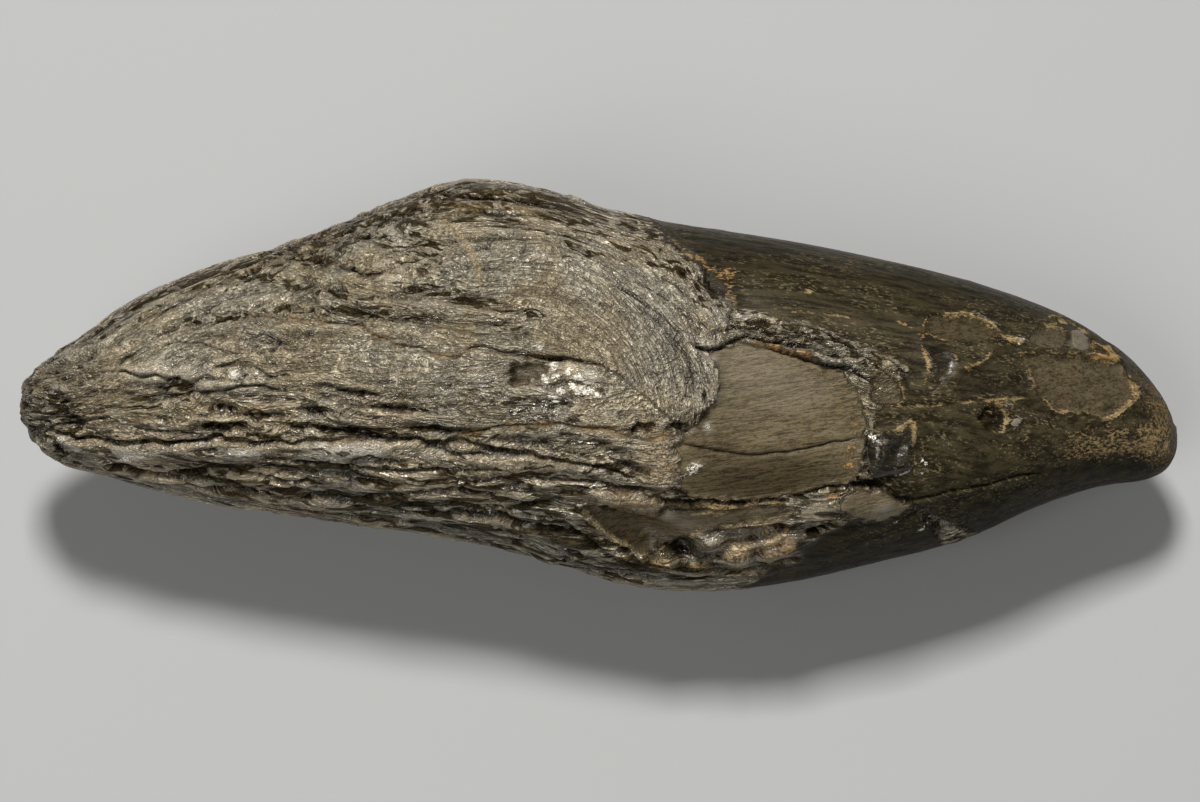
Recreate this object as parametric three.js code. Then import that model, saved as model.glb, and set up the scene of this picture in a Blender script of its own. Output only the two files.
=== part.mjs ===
// A fossil sperm whale tooth, lying on its side. Millimetres, +Z up, +X towards the crown's tip.
// The tooth's broad face leans towards -Y, so "up the face" and "out of the face" are tilted axes:
// every section is drawn in those two directions first, and is turned to the world's at the end.
import * as THREE from "three";

// How the tooth lies
const LEAN = THREE.MathUtils.degToRad(25); // from lying flat to how the broad face leans
const AXIS_HEIGHT = 20.4; // of the tooth's axis over the table, which leaves the belly worn flat

// How finely the surface is cut into facets
const RINGS_PER_SPAN = 4; // between two stations
const COLUMNS = 44; // round the tooth
const SQUARENESS = 2.25; // 2 is an ellipse, and more is boxier

// Stations from the root's tip to the crown's: [x, upper edge, lower edge, face, underside].
// The edges are heights up the face. Face and underside are how far the surface stands out of
// the axis plane there, on the side that is seen and on the side that it lies on.
const STATIONS = [
  [-76.0, -0.4, -0.4, 0.0, 0.0],
  [-75.3, 2.9, -3.3, 3.2, -2.8],
  [-73.5, 4.8, -5.4, 5.2, -4.6],
  [-70.4, 7.1, -7.7, 7.4, -6.4],
  [-65.5, 10.3, -9.1, 9.6, -8.4],
  [-58.0, 14.9, -10.9, 12.2, -11.0],
  [-48.0, 18.7, -13.0, 14.9, -14.0],
  [-38.0, 21.9, -14.5, 17.0, -16.6],
  [-28.0, 26.4, -16.0, 19.0, -19.6],
  [-18.0, 29.2, -17.6, 20.4, -21.0],
  [-8.0, 28.1, -19.9, 21.2, -21.6],
  [2.0, 25.2, -23.0, 21.2, -21.6],
  [12.0, 23.4, -24.3, 20.6, -21.0],
  [24.0, 21.6, -23.2, 19.4, -20.0],
  [36.0, 19.2, -20.5, 17.2, -18.6],
  [48.0, 16.3, -17.3, 14.0, -17.0],
  [58.0, 12.9, -12.9, 10.4, -15.6],
  [66.0, 8.7, -10.5, 6.6, -13.4],
  [71.6, 3.9, -9.9, 2.8, -11.0],
  [74.8, -1.0, -8.2, -0.8, -8.0],
  [76.0, -4.9, -4.9, -4.4, -4.4],
];

// Broad hollows and flats in the face: centre, half sizes along and up the face, turn, depth
const DENTS = [
  { name: "bare dentine", x: 23, up: -2, along: 13, across: 11, turn: 0, depth: 0.8 },
  { name: "gouge", x: 8, up: -16.2, along: 14, across: 3.6, turn: -9, depth: 2.0 },
  { name: "wear flat near the tip", x: 63, up: 3.5, along: 9, across: 6, turn: -20, depth: 0.6 },
  { name: "saddle before the hump", x: -47, up: 14, along: 10, across: 5, turn: 14, depth: 0.7 },
];

const EDGE_UP = curveThrough(([x, upper, , face]) => new THREE.Vector3(x, upper, face));
const EDGE_DOWN = curveThrough(([x, , lower, , under]) => new THREE.Vector3(x, lower, under));

function curveThrough(pointOf) {
  return new THREE.CatmullRomCurve3(STATIONS.map(pointOf), false, "centripetal");
}

// A power that keeps the sign, for the superellipse
function signedPower(value, exponent) {
  return Math.sign(value) * Math.abs(value) ** exponent;
}

// How deep the dents are at a point of the face
function dentDepth(x, up) {
  let depth = 0;
  for (const dent of DENTS) {
    const turn = THREE.MathUtils.degToRad(dent.turn);
    const dx = x - dent.x;
    const dup = up - dent.up;
    const along = (dx * Math.cos(turn) + dup * Math.sin(turn)) / dent.along;
    const across = (dup * Math.cos(turn) - dx * Math.sin(turn)) / dent.across;
    depth += dent.depth * Math.exp(-((along ** 2 + across ** 2) ** 2));
  }
  return depth;
}

// A point of the surface in the tooth's own directions: along, up the face, out of the face.
// The angle is 0 at the upper edge, and a quarter turn at the middle of the face.
function surfacePoint(share, angle) {
  const upper = EDGE_UP.getPoint(share);
  const lower = EDGE_DOWN.getPoint(share);
  const middle = upper.clone().add(lower).multiplyScalar(0.5);
  const half = upper.clone().sub(lower).multiplyScalar(0.5);
  const rise = signedPower(Math.cos(angle), 2 / SQUARENESS);
  const bulge = signedPower(Math.sin(angle), 2 / SQUARENESS);
  const x = middle.x + half.x * rise;
  const up = middle.y + half.y * rise;
  const facing = Math.max(bulge, 0);
  const out = middle.z + half.z * bulge - dentDepth(x, up) * facing;
  return new THREE.Vector3(x, up, out);
}

// From the tooth's own directions to the world's, with the belly worn flat on the table
function laidDown(point) {
  const y = point.y * Math.cos(LEAN) - point.z * Math.sin(LEAN);
  const z = point.y * Math.sin(LEAN) + point.z * Math.cos(LEAN) + AXIS_HEIGHT;
  return new THREE.Vector3(point.x, y, Math.max(z, 0));
}

// Rings of facets with one point at each tip
function toothGeometry() {
  const rings = (STATIONS.length - 1) * RINGS_PER_SPAN;
  const points = [laidDown(surfacePoint(0, 0))];
  for (let ring = 1; ring < rings; ring += 1) {
    for (let column = 0; column < COLUMNS; column += 1) {
      const angle = (column / COLUMNS) * 2 * Math.PI;
      points.push(laidDown(surfacePoint(ring / rings, angle)));
    }
  }
  points.push(laidDown(surfacePoint(1, 0)));

  const crownTip = points.length - 1;
  const lastRing = crownTip - COLUMNS;
  const triangles = [];
  for (let column = 0; column < COLUMNS; column += 1) {
    const next = (column + 1) % COLUMNS;
    triangles.push(0, 1 + next, 1 + column);
    triangles.push(crownTip, lastRing + column, lastRing + next);
    for (let ring = 0; ring < rings - 2; ring += 1) {
      const here = 1 + ring * COLUMNS;
      const ahead = here + COLUMNS;
      triangles.push(here + column, here + next, ahead + column);
      triangles.push(here + next, ahead + next, ahead + column);
    }
  }

  const geometry = new THREE.BufferGeometry().setFromPoints(points);
  geometry.setIndex(triangles);
  geometry.computeBoundingBox();
  const centre = geometry.boundingBox.getCenter(new THREE.Vector3());
  geometry.translate(-centre.x, -centre.y, 0);
  geometry.computeVertexNormals();
  return geometry;
}

const fossil = new THREE.MeshStandardMaterial({
  color: 0x6f675a,
  roughness: 0.5,
  metalness: 0,
});

const tooth = new THREE.Mesh(toothGeometry(), fossil);
tooth.name = "tooth";

const part = new THREE.Group();
part.add(tooth);

export default part;
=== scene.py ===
import math

import bpy
import numpy as np
from mathutils import Matrix, Vector
from mathutils.bvhtree import BVHTree


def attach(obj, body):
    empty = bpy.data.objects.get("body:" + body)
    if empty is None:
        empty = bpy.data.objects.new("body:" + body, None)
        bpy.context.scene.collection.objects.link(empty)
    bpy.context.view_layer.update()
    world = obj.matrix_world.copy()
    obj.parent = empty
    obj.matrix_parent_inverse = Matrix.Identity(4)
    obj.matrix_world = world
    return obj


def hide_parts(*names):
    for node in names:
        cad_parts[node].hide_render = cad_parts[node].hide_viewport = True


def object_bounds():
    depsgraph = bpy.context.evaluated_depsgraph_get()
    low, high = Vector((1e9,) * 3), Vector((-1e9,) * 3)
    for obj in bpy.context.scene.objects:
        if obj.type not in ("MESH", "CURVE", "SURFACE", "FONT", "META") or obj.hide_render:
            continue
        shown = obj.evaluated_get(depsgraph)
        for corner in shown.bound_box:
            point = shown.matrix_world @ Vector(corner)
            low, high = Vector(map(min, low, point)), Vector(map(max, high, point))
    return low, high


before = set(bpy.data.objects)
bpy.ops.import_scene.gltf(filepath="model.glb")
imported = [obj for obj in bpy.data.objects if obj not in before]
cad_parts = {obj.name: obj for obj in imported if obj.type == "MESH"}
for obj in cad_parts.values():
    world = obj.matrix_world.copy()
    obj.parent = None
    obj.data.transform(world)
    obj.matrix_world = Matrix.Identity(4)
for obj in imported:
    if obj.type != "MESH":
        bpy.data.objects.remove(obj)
cad_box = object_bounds()

MM = 0.001

# How the tooth lies: its broad face leans back from lying flat, and its axis is over the table
LEAN = math.radians(25)
AXIS_Y = -2.34
AXIS_Z = 20.4
UP_FACE = np.array((0, math.cos(LEAN), math.sin(LEAN)))
OUT_OF_FACE = np.array((0, -math.sin(LEAN), math.cos(LEAN)))

# The camera looks straight at the broad face, with the long side of its frame along the tooth
CAMERA_DISTANCE = 450.0
CAMERA_AIM = (-0.26, 0.52)
FRAME_WIDTH = 156.8
SENSOR_WIDTH = 36.0

# The fine mesh
RINGS = 348
COLUMNS = 286
FRONT_BIAS = 0.42  # how much closer the columns stand on the broad face
SMOOTHING_PASSES = (8, 20)  # of the CAD solid's facets, along the tooth and round it
RELIEF_PASSES = (6, 12)  # of the level that a point's relief is measured from

# The line inside the tooth that the surface is cast outwards from, with a cap of rings at each end:
# where it ends, and how far up and out it is at these places along the tooth
CAP_LENGTH = 12.0
CORE_ENDS = (-66.0, 66.0)
CORE_UP = ((-66, -18, 12, 48, 66), (0.8, 5.0, 0.0, 0.0, -2.4))
CORE_OUT = ((-66, 40, 66), (0.3, -0.3, -3.6))

# Where each listed line pulls the mesh's points towards it, so that it comes out crisp
PULL_REACH = 1.1
PULL_POWER = 1.35
PULL_PASSES = 2
PULL_FACING = (0.35, 0.6)  # how squarely the surface faces out where the pull sets in and is full

# How a listed line is carved: in mm, and its ribs in widths of the line
LINE_REACH = 5.0
LINE_FADE = 2.2
LINE_TAPER = 4
RIB_PLACE = 3.0
RIB_WIDTH = 1.9
STEP_REACH = 2.6
STEP_EDGE = 0.25
PLATE_REACH = 2.0

# How much taller the listed lumps are carved than they are written
SPOT_GAIN = 1.35

# How far the listed lines wander from their corners' straight joins, and over what length
WOBBLE = 0.3
WOBBLE_LENGTH = 1.9

# Over what length a plate's edge is ragged, and the strength of a stain changes
EDGE_NOISE_LENGTH = 1.1
UNEVEN_LENGTH = 3.2

# The root's wrinkles: how long they are along the grain, across it and out of the face
FOLDS = (18, 3.4, 3.4)
STRANDS = (9, 1.3, 1.3)
LONG_STRANDS = (26, 1.1, 1.1)
THREADS = (5, 0.75, 0.75)
LONG_THREADS = (18, 0.7, 0.7)
RECESSES = (15, 1.2, 1.2)
BREAKS = (11, 4, 4)
SLITS = (16, 1.7, 1.7)
SLIT_WIDTH = 0.045  # in the noise's own value
COMBED_LINES = (18, 0.8, 0.8)
CROWN_FOLDS = (24, 6, 6)
CRINKLES = ((1.7, 1.3, 1.3), (1.4, 0.7, 0.7))
GRIT = (1.5, 0.8, 0.8)

# How the grain is bent: the noise's lengths, and how far it bends the grain along each of them
BENDS = (((14, 5, 5), (3.0, 1.5, 1.5)), ((4.5, 1.8, 1.8), (0.9, 0.35, 0.35)))

# The grain of the root curves round in arcs above this point, and runs along the tooth elsewhere
ARC_CENTRE = (-10.7, -2.0)
ARC_RADIUS = 16.0
ARCS_END = 15.0
ARCS_FOOT = ((-12.5, -8, -5, -3, 0, 3, 6, 9, 10), (6.7, 6.3, 6.2, 5.7, 5.0, 3.0, 0.6, -2.2, -4.3))
ARCS_LEFT = (-12, -9)  # the straight grain turns into arcs between these places
ARCS_OUT = (1, 7)
ARCS_STRAY = 1.8
ARCS_STRAY_LENGTH = 3.5
WALL_SHARE = 0.2  # how much of a point's height shifts the grain, so that steep walls are lined too

# The straight grain is at a slope on the dentine and in the streaks of the upper root, and it draws
# together towards the root's tip
DENTINE_SLOPE = 0.13
SLOPE_START = 20
STREAK_SLOPE = 0.2
STREAK_ENDS = (-56, -16)
STREAK_LEVEL = -42
FAN_CENTRE = -4.0
FAN_SPREAD = 0.9
FAN_ENDS = (44, 76)

# The main split, below which the root is made of long thin layers
SPLIT_UP = -4.5
SPLIT_SLOPE = 0.055
SPLIT_START = -70
SPLIT_LENGTH = 100

# How ragged the border of root and crown is, and the bays that it makes round the back
BORDER_STRAY = 1.2
BORDER_STRAY_LENGTH = 3.1
BAYS = 9
BAYS_LENGTH = 11

# The painted shade in dark ragged bands at the broad face's edges: their noises, and how far down
# the lower one sets in and is full
BAND_FOLDS = (6, 1.2, 1.2)
BAND_THREADS = (2.4, 0.7, 0.7)
LOWER_BAND = (6, 14)
LOWER_BAND_STRAY = 9


def to_own(world):
    """From metres in the shared frame to mm along the tooth, up its face and out of its face."""
    offset = world / MM - np.array((0, AXIS_Y, AXIS_Z))
    return np.stack((offset[:, 0], offset @ UP_FACE, offset @ OUT_OF_FACE), axis=1)


def to_world(own):
    """From the tooth's own directions in mm to metres in the shared frame."""
    place = own[:, :1] * np.array((1, 0, 0)) + own[:, 1:2] * UP_FACE + own[:, 2:3] * OUT_OF_FACE
    return (place + np.array((0, AXIS_Y, AXIS_Z))) * MM


def add_camera():
    data = bpy.data.cameras.new("camera")
    data.sensor_width = SENSOR_WIDTH
    data.lens = SENSOR_WIDTH * CAMERA_DISTANCE / FRAME_WIDTH
    data.clip_start = 0.01
    camera = bpy.data.objects.new("camera", data)
    seen = np.array([(CAMERA_AIM[0], CAMERA_AIM[1], CAMERA_DISTANCE)])
    turn = Matrix((Vector((1, 0, 0)), Vector(UP_FACE), Vector(OUT_OF_FACE))).transposed()
    camera.matrix_world = Matrix.Translation(to_world(seen)[0]) @ turn.to_4x4()
    bpy.context.scene.collection.objects.link(camera)
    bpy.context.scene.camera = camera


add_camera()


def smoothstep(value, low, high):
    share = np.clip((value - low) / (high - low), 0, 1)
    return share * share * (3 - 2 * share)


def bell(distance, width, power=2):
    """1 at no distance, and 0 well beyond the width. A high power makes its shoulders square."""
    return np.exp(-((distance / width) ** power))


class GradientNoise:
    """Gradient noise in three dimensions, about -0.7 to 0.7, the same on each run."""

    SIZE = 256
    GAIN = 1.4

    def __init__(self, seed):
        random = np.random.RandomState(seed)
        self.order = np.tile(random.permutation(self.SIZE), 2)
        slopes = random.normal(size=(self.SIZE, 3))
        self.slopes = slopes / np.linalg.norm(slopes, axis=1, keepdims=True)

    def at(self, points):
        cell = np.floor(points).astype(int)
        inside = points - cell
        ease = inside**3 * (inside * (inside * 6 - 15) + 10)
        cell %= self.SIZE
        total = np.zeros(len(points))
        for corner in np.ndindex(2, 2, 2):
            x, y, z = ((cell + corner) % self.SIZE).T
            slope = self.slopes[self.order[self.order[self.order[x] + y] + z]]
            share = np.where(corner, ease, 1 - ease).prod(axis=1)
            total += share * ((inside - corner) * slope).sum(axis=1)
        return total * self.GAIN


folds_noise = GradientNoise(3)
ridge_noise = GradientNoise(11)
thread_noise = GradientNoise(23)
warp_noise = GradientNoise(37)
patch_noise = GradientNoise(51)


def line(depth, width, *points, above=0.0, below=0.0, step=0.0, tan=0.0, crevice_shade=0.9, halo=0.45, rust=0.0,
         sharp=True, sand=0.0):
    """A crack or an edge drawn on the face, or a raised line where its depth is negative. Above and
    below are the ribs beside it, and step is how far the surface stands up beyond it: below it if
    positive, and above it if negative. Tan, rust and sand are its stains, and its dark core is painted
    shade in the groove. Halo is how far the tan and the rust spread. Only a sharp line pulls the mesh's
    points towards it."""
    return {"points": np.array(points, float), "depth": depth, "width": width, "above": above,
            "below": below, "step": step, "tan": tan, "crevice_shade": crevice_shade, "halo": halo, "rust": rust,
            "sharp": sharp, "sand": sand}


def plate(height, edge, *outline, rim=0.0, rim_width=0.4, tan=0.0, ragged=0.0, sharp=True, **paint):
    """A bounded patch that stands up or lies lower than what is round it, with a rim."""
    return {"outline": np.array(outline, float), "height": height, "edge": edge, "rim": rim,
            "rim_width": rim_width, "tan": tan, "ragged": ragged, "sharp": sharp, "paint": paint}


def spot(x, up, along, across, turn, height, edge=1.0, **paint):
    """A lump, or a hollow where its height is negative. Along and across are its half sizes, and
    it is turned in degrees. A high edge makes its rim sharp."""
    return {"x": x, "up": up, "along": along, "across": across, "turn": math.radians(turn),
            "height": height, "edge": edge, "paint": paint}


def spots_of(*names):
    """Makes a short way to write spots with these paints: their numbers are those of a spot, with
    or without its edge, and then the share of each paint."""
    def made(*numbers):
        shape, shares = numbers[:-len(names)], numbers[-len(names):]
        return spot(*shape, **dict(zip(names, shares)))
    return made


# Bright spots are painted highlights, pale and white spots are partly painted sheen and highlights, and dark
# spots in hollows are painted shade
dark = spots_of("dark")
pale = spots_of("gloss", "grey")
painted_highlight = spots_of("gloss", "white")
gloss = spots_of("gloss")
grey = spots_of("grey")
white = spots_of("white")
tan = spots_of("tan")
ochre = spots_of("tan", "ochre")
calm = spots_of("calm")


# The broad face's cracks and ledges, from the root's tip to the crown's tip
FACE_LINES = [
    # the main split, from the notch in the root's tip
    line(1.4, 0.19, (-76.5, -3), (-74.5, -3.3), (-72, -3.4), (-70, -3.9), (-68, -4.4), (-65, -4.8),
         (-62, -4.9), (-59, -4.7), (-56, -5), (-53, -4.9), (-50, -4.4), (-47, -4.5), (-45, -4.9), (-40, -4.9),
         (-38, -4.5), (-35, -4.6), (-33, -4.3), (-30, -4.4), (-28, -4.8), (-22, -4.9), (-19, -4.8),
         (-17, -4.9), (-14, -5.7), (-9.3, -6.3), (-8, -6.8), (-5, -7.4), (-2, -7.9), (0.5, -8.2), (3, -9.2),
         (5, -9.6), above=0.2, below=0.4, tan=0.8, halo=0.5, rust=0.2),
    line(0.8, 0.19, (-25, -5), (-21, -5.7), (-19, -6.2), (-17, -6.4), (-16, -6.2), (-13.5, -6.4), (-10, -6.6),
         (-8, -6.9), below=0.15, tan=0.2),
    line(1, 0.22, (-62, -8.8), (-57, -9), (-52, -8.9), (-48, -8.9), (-45, -9.4), (-42, -9.9), (-37, -10.2),
         below=0.25, tan=0.3),
    # the long lower split, which bounds the bare dentine and runs out along the crown
    line(0.7, 0.14, (-24, -10.2), (-20, -9.9), (-15, -9.9), (-11, -9.6), (-7, -9.8), (-3, -9.8), (0, -10.3),
         (2, -10.8), (4.5, -11), (6, -12), (7, -12.3), (9, -12.6), (10.5, -12.9), (12, -12.7), (16, -12.8),
         (18, -12.8), (20, -12.5), (22, -12.3), (24, -12.6), (24.8, -12.2), (27, -11.5), (29, -10.9),
         (33, -10.5), (35, -10.8), (37, -10.8), (38.5, -12), (40, -12.6), (43, -12.1), (46, -11.2),
         (50, -10.6), (53, -9.6), (55, -9.2), (58, -8.9), below=0.25, tan=0.6),
    line(0.7, 0.18, (6, -12.2), (7.5, -11.8), (9, -11.3), (11, -11.9), (12, -12.7)),
    line(0.9, 0.21, (-34, -12.3), (-30, -12), (-25, -11.8), (-21, -11.1), (-18, -11.2), (-15, -12),
         (-13, -12.4), (-10, -13), (-7.8, -13.5), below=0.25, tan=0.3),
    line(1, 0.22, (-27, -13.7), (-21, -14.1), (-18, -14.4), (-14, -14.8), (-11, -15.5), (-8, -16),
         (-4, -16.3), below=0.25, tan=0.2),
    # the thin crack across the upper root
    line(0.35, 0.12, (-47.3, 11.9), (-38.4, 11.2), (-31.7, 10.5), (-29.6, 9.1), (-27.1, 8), (-24.2, 7.6),
         (-21.8, 6.6), (-19.3, 6.05), (-17.1, 7.5), (-15.4, 7.65), (-13.2, 6.9), (-10, 7.1), (-9.3, 7.65),
         below=0.05, tan=1.1, crevice_shade=0.9, halo=0.5, rust=0.35),
    line(0.3, 0.12, (-12.5, 6.7), (-10, 6.5), (-8, 6.5), (-5, 6.1), (-2.5, 5.6), (0, 5.1), (1.2, 4.2),
         (2.2, 3.2), tan=1, halo=0.6, rust=0.35),
    # the ledge below the hollow in the middle of the face
    line(0.4, 0.19, (-20, -4.2), (-17, -3.6), (-13, -2.8), (-8, -2.6), (-5, -2.4), (-2, -3), (1, -3.2),
         (4, -4.2), (6, -4.7), (8, -4), (10, -4.3), step=0.8, tan=1.1, halo=0.7, rust=0.4),
    # the overhang at the top of the bare dentine, and the shelf under it
    line(1, 0.24, (11.3, 8.5), (12.4, 7.7), (13.7, 7.3), (15.2, 7.5), (16.7, 8.1), (18.8, 8.8), (21, 8.5),
         (23.3, 7.9), (25.5, 7.7), (27, 7.7), above=0.2, tan=0.3),
    line(-0.35, 0.3, (12, 8.4), (13.4, 9.1), (15, 9.7), (17, 10.4), (18.6, 10.7), tan=0.8, crevice_shade=0),
    line(0.9, 0.21, (21, 7.5), (22, 7.3), (25, 6.6), (27, 6), (29.5, 5.2), (31, 4.9), (33, 4.5), (35, 3.2),
         (36, 2.2), above=0.3, tan=0.6),
    # inside the bare dentine
    line(0.4, 0.16, (10, -5), (12, -5.5), (15, -6), (17, -6.5), (20, -6.6), (23, -6.3), (26, -5.9),
         (28, -5.5), (31, -4.8), (34, -4.3), tan=0.35),
    # the broken cement above the bare dentine
    line(0.2, 0.2, (17, 11.2), (20, 10.8), (22, 10.5), (25, 10.5), (27.5, 10), (29, 9.6), (31, 8.3), (33, 7),
         (35, 6), (37.5, 5.9), (39, 4.8), (40, 3), (40.3, 1), step=0.4, tan=0.5),
    line(0.5, 0.19, (14.5, 9.4), (17, 10), (20, 9.9), (23, 9.3), (26, 9.2), (29, 8), (31.5, 6.6), above=0.15,
         tan=0.6),
    line(0.4, 0.18, (22.5, 8.9), (25, 8.4), (28, 7.2), (30.5, 6.3), (33.5, 5.2), tan=0.5),
    # the chip right of the bare dentine, with the gap under it
    line(0.9, 0.21, (34.8, -3.2), (34.9, -10.2), step=-0.35),
    line(1.8, 0.34, (32.3, -10.5), (35, -10.6), (36.4, -10), (38.5, -9.6), (40.2, -9.3)),
    line(-0.3, 0.3, (34, -3.2), (36.3, -3.4), (38.6, -3.3), (40.2, -1.9), (41, -0.6), tan=1, crevice_shade=0),
    line(0.1, 0.18, (40.5, -0.6), (40.9, -2), (40.7, -4.7), (40.9, -9.7), (41.1, -10.8), tan=0.8, crevice_shade=0),
    # thin mineral lines on the crown
    line(0.15, 0.13, (23.3, 12.3), (28.2, 12.1), (32.1, 11.5), (35.9, 11.6), (38.6, 10.8), (40.5, 10),
         (42, 10.4), tan=0.8, crevice_shade=0.1),
    line(-0.2, 0.3, (42.3, 9.6), (41.7, 8), (42.4, 6), (42.6, 4.4), (42, 2.4), (42.3, 0.8), (42, -0.4),
         tan=0.9, crevice_shade=0),
    line(-0.2, 0.22, (44.7, 7.6), (45.8, 6.6), (46.6, 5.6), (46.9, 4.5), tan=1, crevice_shade=0),
    line(-0.15, 0.2, (46.2, 4), (46.9, 4.5), (49.3, 5.3), (50.8, 6.8), (51.6, 8), tan=1, crevice_shade=0),
    line(0.2, 0.16, (46.4, 4.2), (44.7, 3), (43.2, 1.5), (42, -0.2), tan=0.7, crevice_shade=0.2),
    line(0.15, 0.14, (35.9, -0.3), (40, -0.2), (43.2, -0.1), (45.8, 0.1), (50, 0.6), (53.9, 0.8), (57, 1.3),
         tan=0.85, crevice_shade=0.15),
    line(-0.15, 0.2, (36.7, 4.6), (38.6, 3.1), (39.5, 0.9), (39.8, -0.2), tan=1, crevice_shade=0),
    line(-0.15, 0.45, (51.6, 9.4), (53, 8.6), (55, 8.3), (56.4, 7.5), tan=0.8, crevice_shade=0),
    # the tan curve round the fine blue-grey patch
    line(-0.12, 0.7, (-22, 25), (-18.8, 22.6), (-17, 20), (-16, 17), (-15.7, 14.2), tan=0.5, sand=1, crevice_shade=0,
         sharp=False),
    # the gouge's lower rim and its upper shelf
    line(-0.8, 0.4, (-3, -12.6), (-2.4, -13.9), (-0.2, -16.3), (2.5, -18.2), (5.9, -20.1), (10.6, -21),
         (15.3, -21.2), tan=0.9, crevice_shade=0),
    line(0.5, 0.18, (-5.5, -14.6), (-3.2, -16.6), (-0.6, -18.6), (2.4, -20.3), (6, -21.6), above=0.2,
         tan=0.4),
    line(0.5, 0.18, (-8, -16.8), (-5, -18.2), (-2, -20), (1.5, -21.6), above=0.2, tan=0.4),
    line(-0.25, 0.25, (8.4, -13.1), (12, -13.3), (16, -13.4), (19, -13.1), (22, -12.8), (24.8, -12.9),
         tan=0.9, crevice_shade=0),
    line(-0.3, 0.4, (9, -18.4), (10.3, -17.8), (12.3, -16.8), (16, -15.9), (19.4, -15.5), (24.1, -14.9),
         tan=0.9, crevice_shade=0),
    line(-0.6, 0.5, (15.3, -19.7), (17.4, -18.5), (19.7, -18.1), (22.4, -17.6), (24.1, -16.3), (25.4, -14.9),
         tan=1, crevice_shade=0),
    line(-0.4, 0.45, (6, -19.6), (8, -19), (9.5, -19.5), tan=1, crevice_shade=0),
    line(0.6, 0.24, (11.4, -20), (13, -20.3), (15, -19.9), (16.6, -18.9)),
    line(0.5, 0.19, (3.5, -20.1), (7.3, -21), (10, -21.4), (13.3, -21.8), (17, -21.8), (20, -21.4),
         (23.4, -20.8), (26.4, -19.4), below=0.2, tan=0.8),
    # the arcs' longest lines
    line(0.3, 0.13, (0.8, 15.8), (4.4, 14.3), (7.1, 12.4), (9.2, 10.4), (11.3, 8.3), tan=0.2),
    line(0.3, 0.13, (2.6, 16.7), (6.2, 15.5), (9.2, 13.4), (11.6, 11.3), (12.8, 9.5), tan=0.2),
    line(0.3, 0.13, (6.5, 17), (9.5, 15.8), (11.9, 13.7)),
    line(0.3, 0.13, (8.6, 10.4), (10.4, 7.7), (11.6, 5), (12.1, 2.6), (11.6, 0.1)),
    line(0.25, 0.12, (10.4, 5.6), (11.2, 3.5), (10.9, 1.3), (9.8, -0.5)),
    line(0.25, 0.12, (-2, 14), (1.1, 12.8), (3.8, 10.7), (5.6, 8.6)),
    line(0.25, 0.12, (5, 13.1), (7.7, 10.4), (9.5, 7.7), (10.4, 5), tan=0.2),
    # fine cracks low on the root, with tan in them
    line(0.7, 0.17, (-66, -7.9), (-61, -8.6), (-56, -9.6), (-50, -10), (-44, -10.9), above=0.2, below=0.3,
         tan=0.3),
    line(0.8, 0.18, (-54, -10.9), (-48, -11.2), (-42, -12.3), (-36, -12.2), (-31, -13.2), above=0.2,
         below=0.3, tan=0.4),
    line(0.7, 0.17, (-45, -12.8), (-39, -13.3), (-33, -14.4), (-27, -15.2), (-22, -15.4), above=0.2,
         below=0.3, tan=0.5),
    line(0.7, 0.17, (-42, -7.6), (-37, -7.4), (-32, -8), (-27, -8.6), (-21, -8.4), (-14, -8.5), above=0.2,
         below=0.3, tan=0.3),
    line(0.7, 0.17, (-20, -12.9), (-14, -13.6), (-9, -14.6), (-5, -14.9), above=0.2, below=0.3, tan=0.4),
    line(0.4, 0.15, (-60, -3.6), (-56, -3.4), (-53, -3.9), (-50, -3.7), tan=0.5),
    # folds in the root's glossy swellings
    line(0.5, 0.32, (-63.5, 4), (-63.2, 5), (-62.5, 6), (-60, 7.2)),
    line(0.6, 0.17, (-64.5, 4.2), (-62, 4.3), (-60, 3.6), (-58, 3.9), (-56.5, 3.2), (-55, 3.4), (-53.6, 2.8),
         above=0.3),
    line(0.5, 0.16, (-54, 1.9), (-51.5, 1.6), (-48.5, 2), (-46, 2.6), (-44, 2.4), (-41.5, 1.6), above=0.25),
    line(0.25, 0.14, (-47.2, 7.4), (-46.4, 8.8), (-44.2, 9.3), (-42.2, 8.3), (-42.8, 7), (-45, 6.6),
         (-46.4, 7.1)),
    line(0.25, 0.13, (-45.9, 7.8), (-44.6, 8.5), (-43.3, 8), (-44.3, 7.4)),
    line(0.3, 0.14, (-58.2, 7.4), (-55.6, 8.4), (-52.4, 8.2), (-49.9, 7.2), (-47.5, 6.4)),
    line(0.4, 0.2, (-54, 2.6), (-52, 3.6), (-50, 3.4), (-48.5, 2.7)),
    line(0.4, 0.18, (-51.4, 4.4), (-50.3, 5.1), (-47.7, 5.6), (-45.1, 4.9), (-43.2, 3.75), (-42, 3.1),
         above=0.15, tan=0.5),
    line(0.3, 0.16, (-48.9, 4.9), (-47.2, 4.8), (-46.4, 4), (-46.9, 3.1), (-48.3, 2.9)),
    line(0.35, 0.2, (-34, -8.8), (-32.5, -7), (-30, -6.6), (-28, -7.6)),
    line(0.3, 0.18, (-32, -9), (-31, -8), (-29.5, -8)),
]
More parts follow.
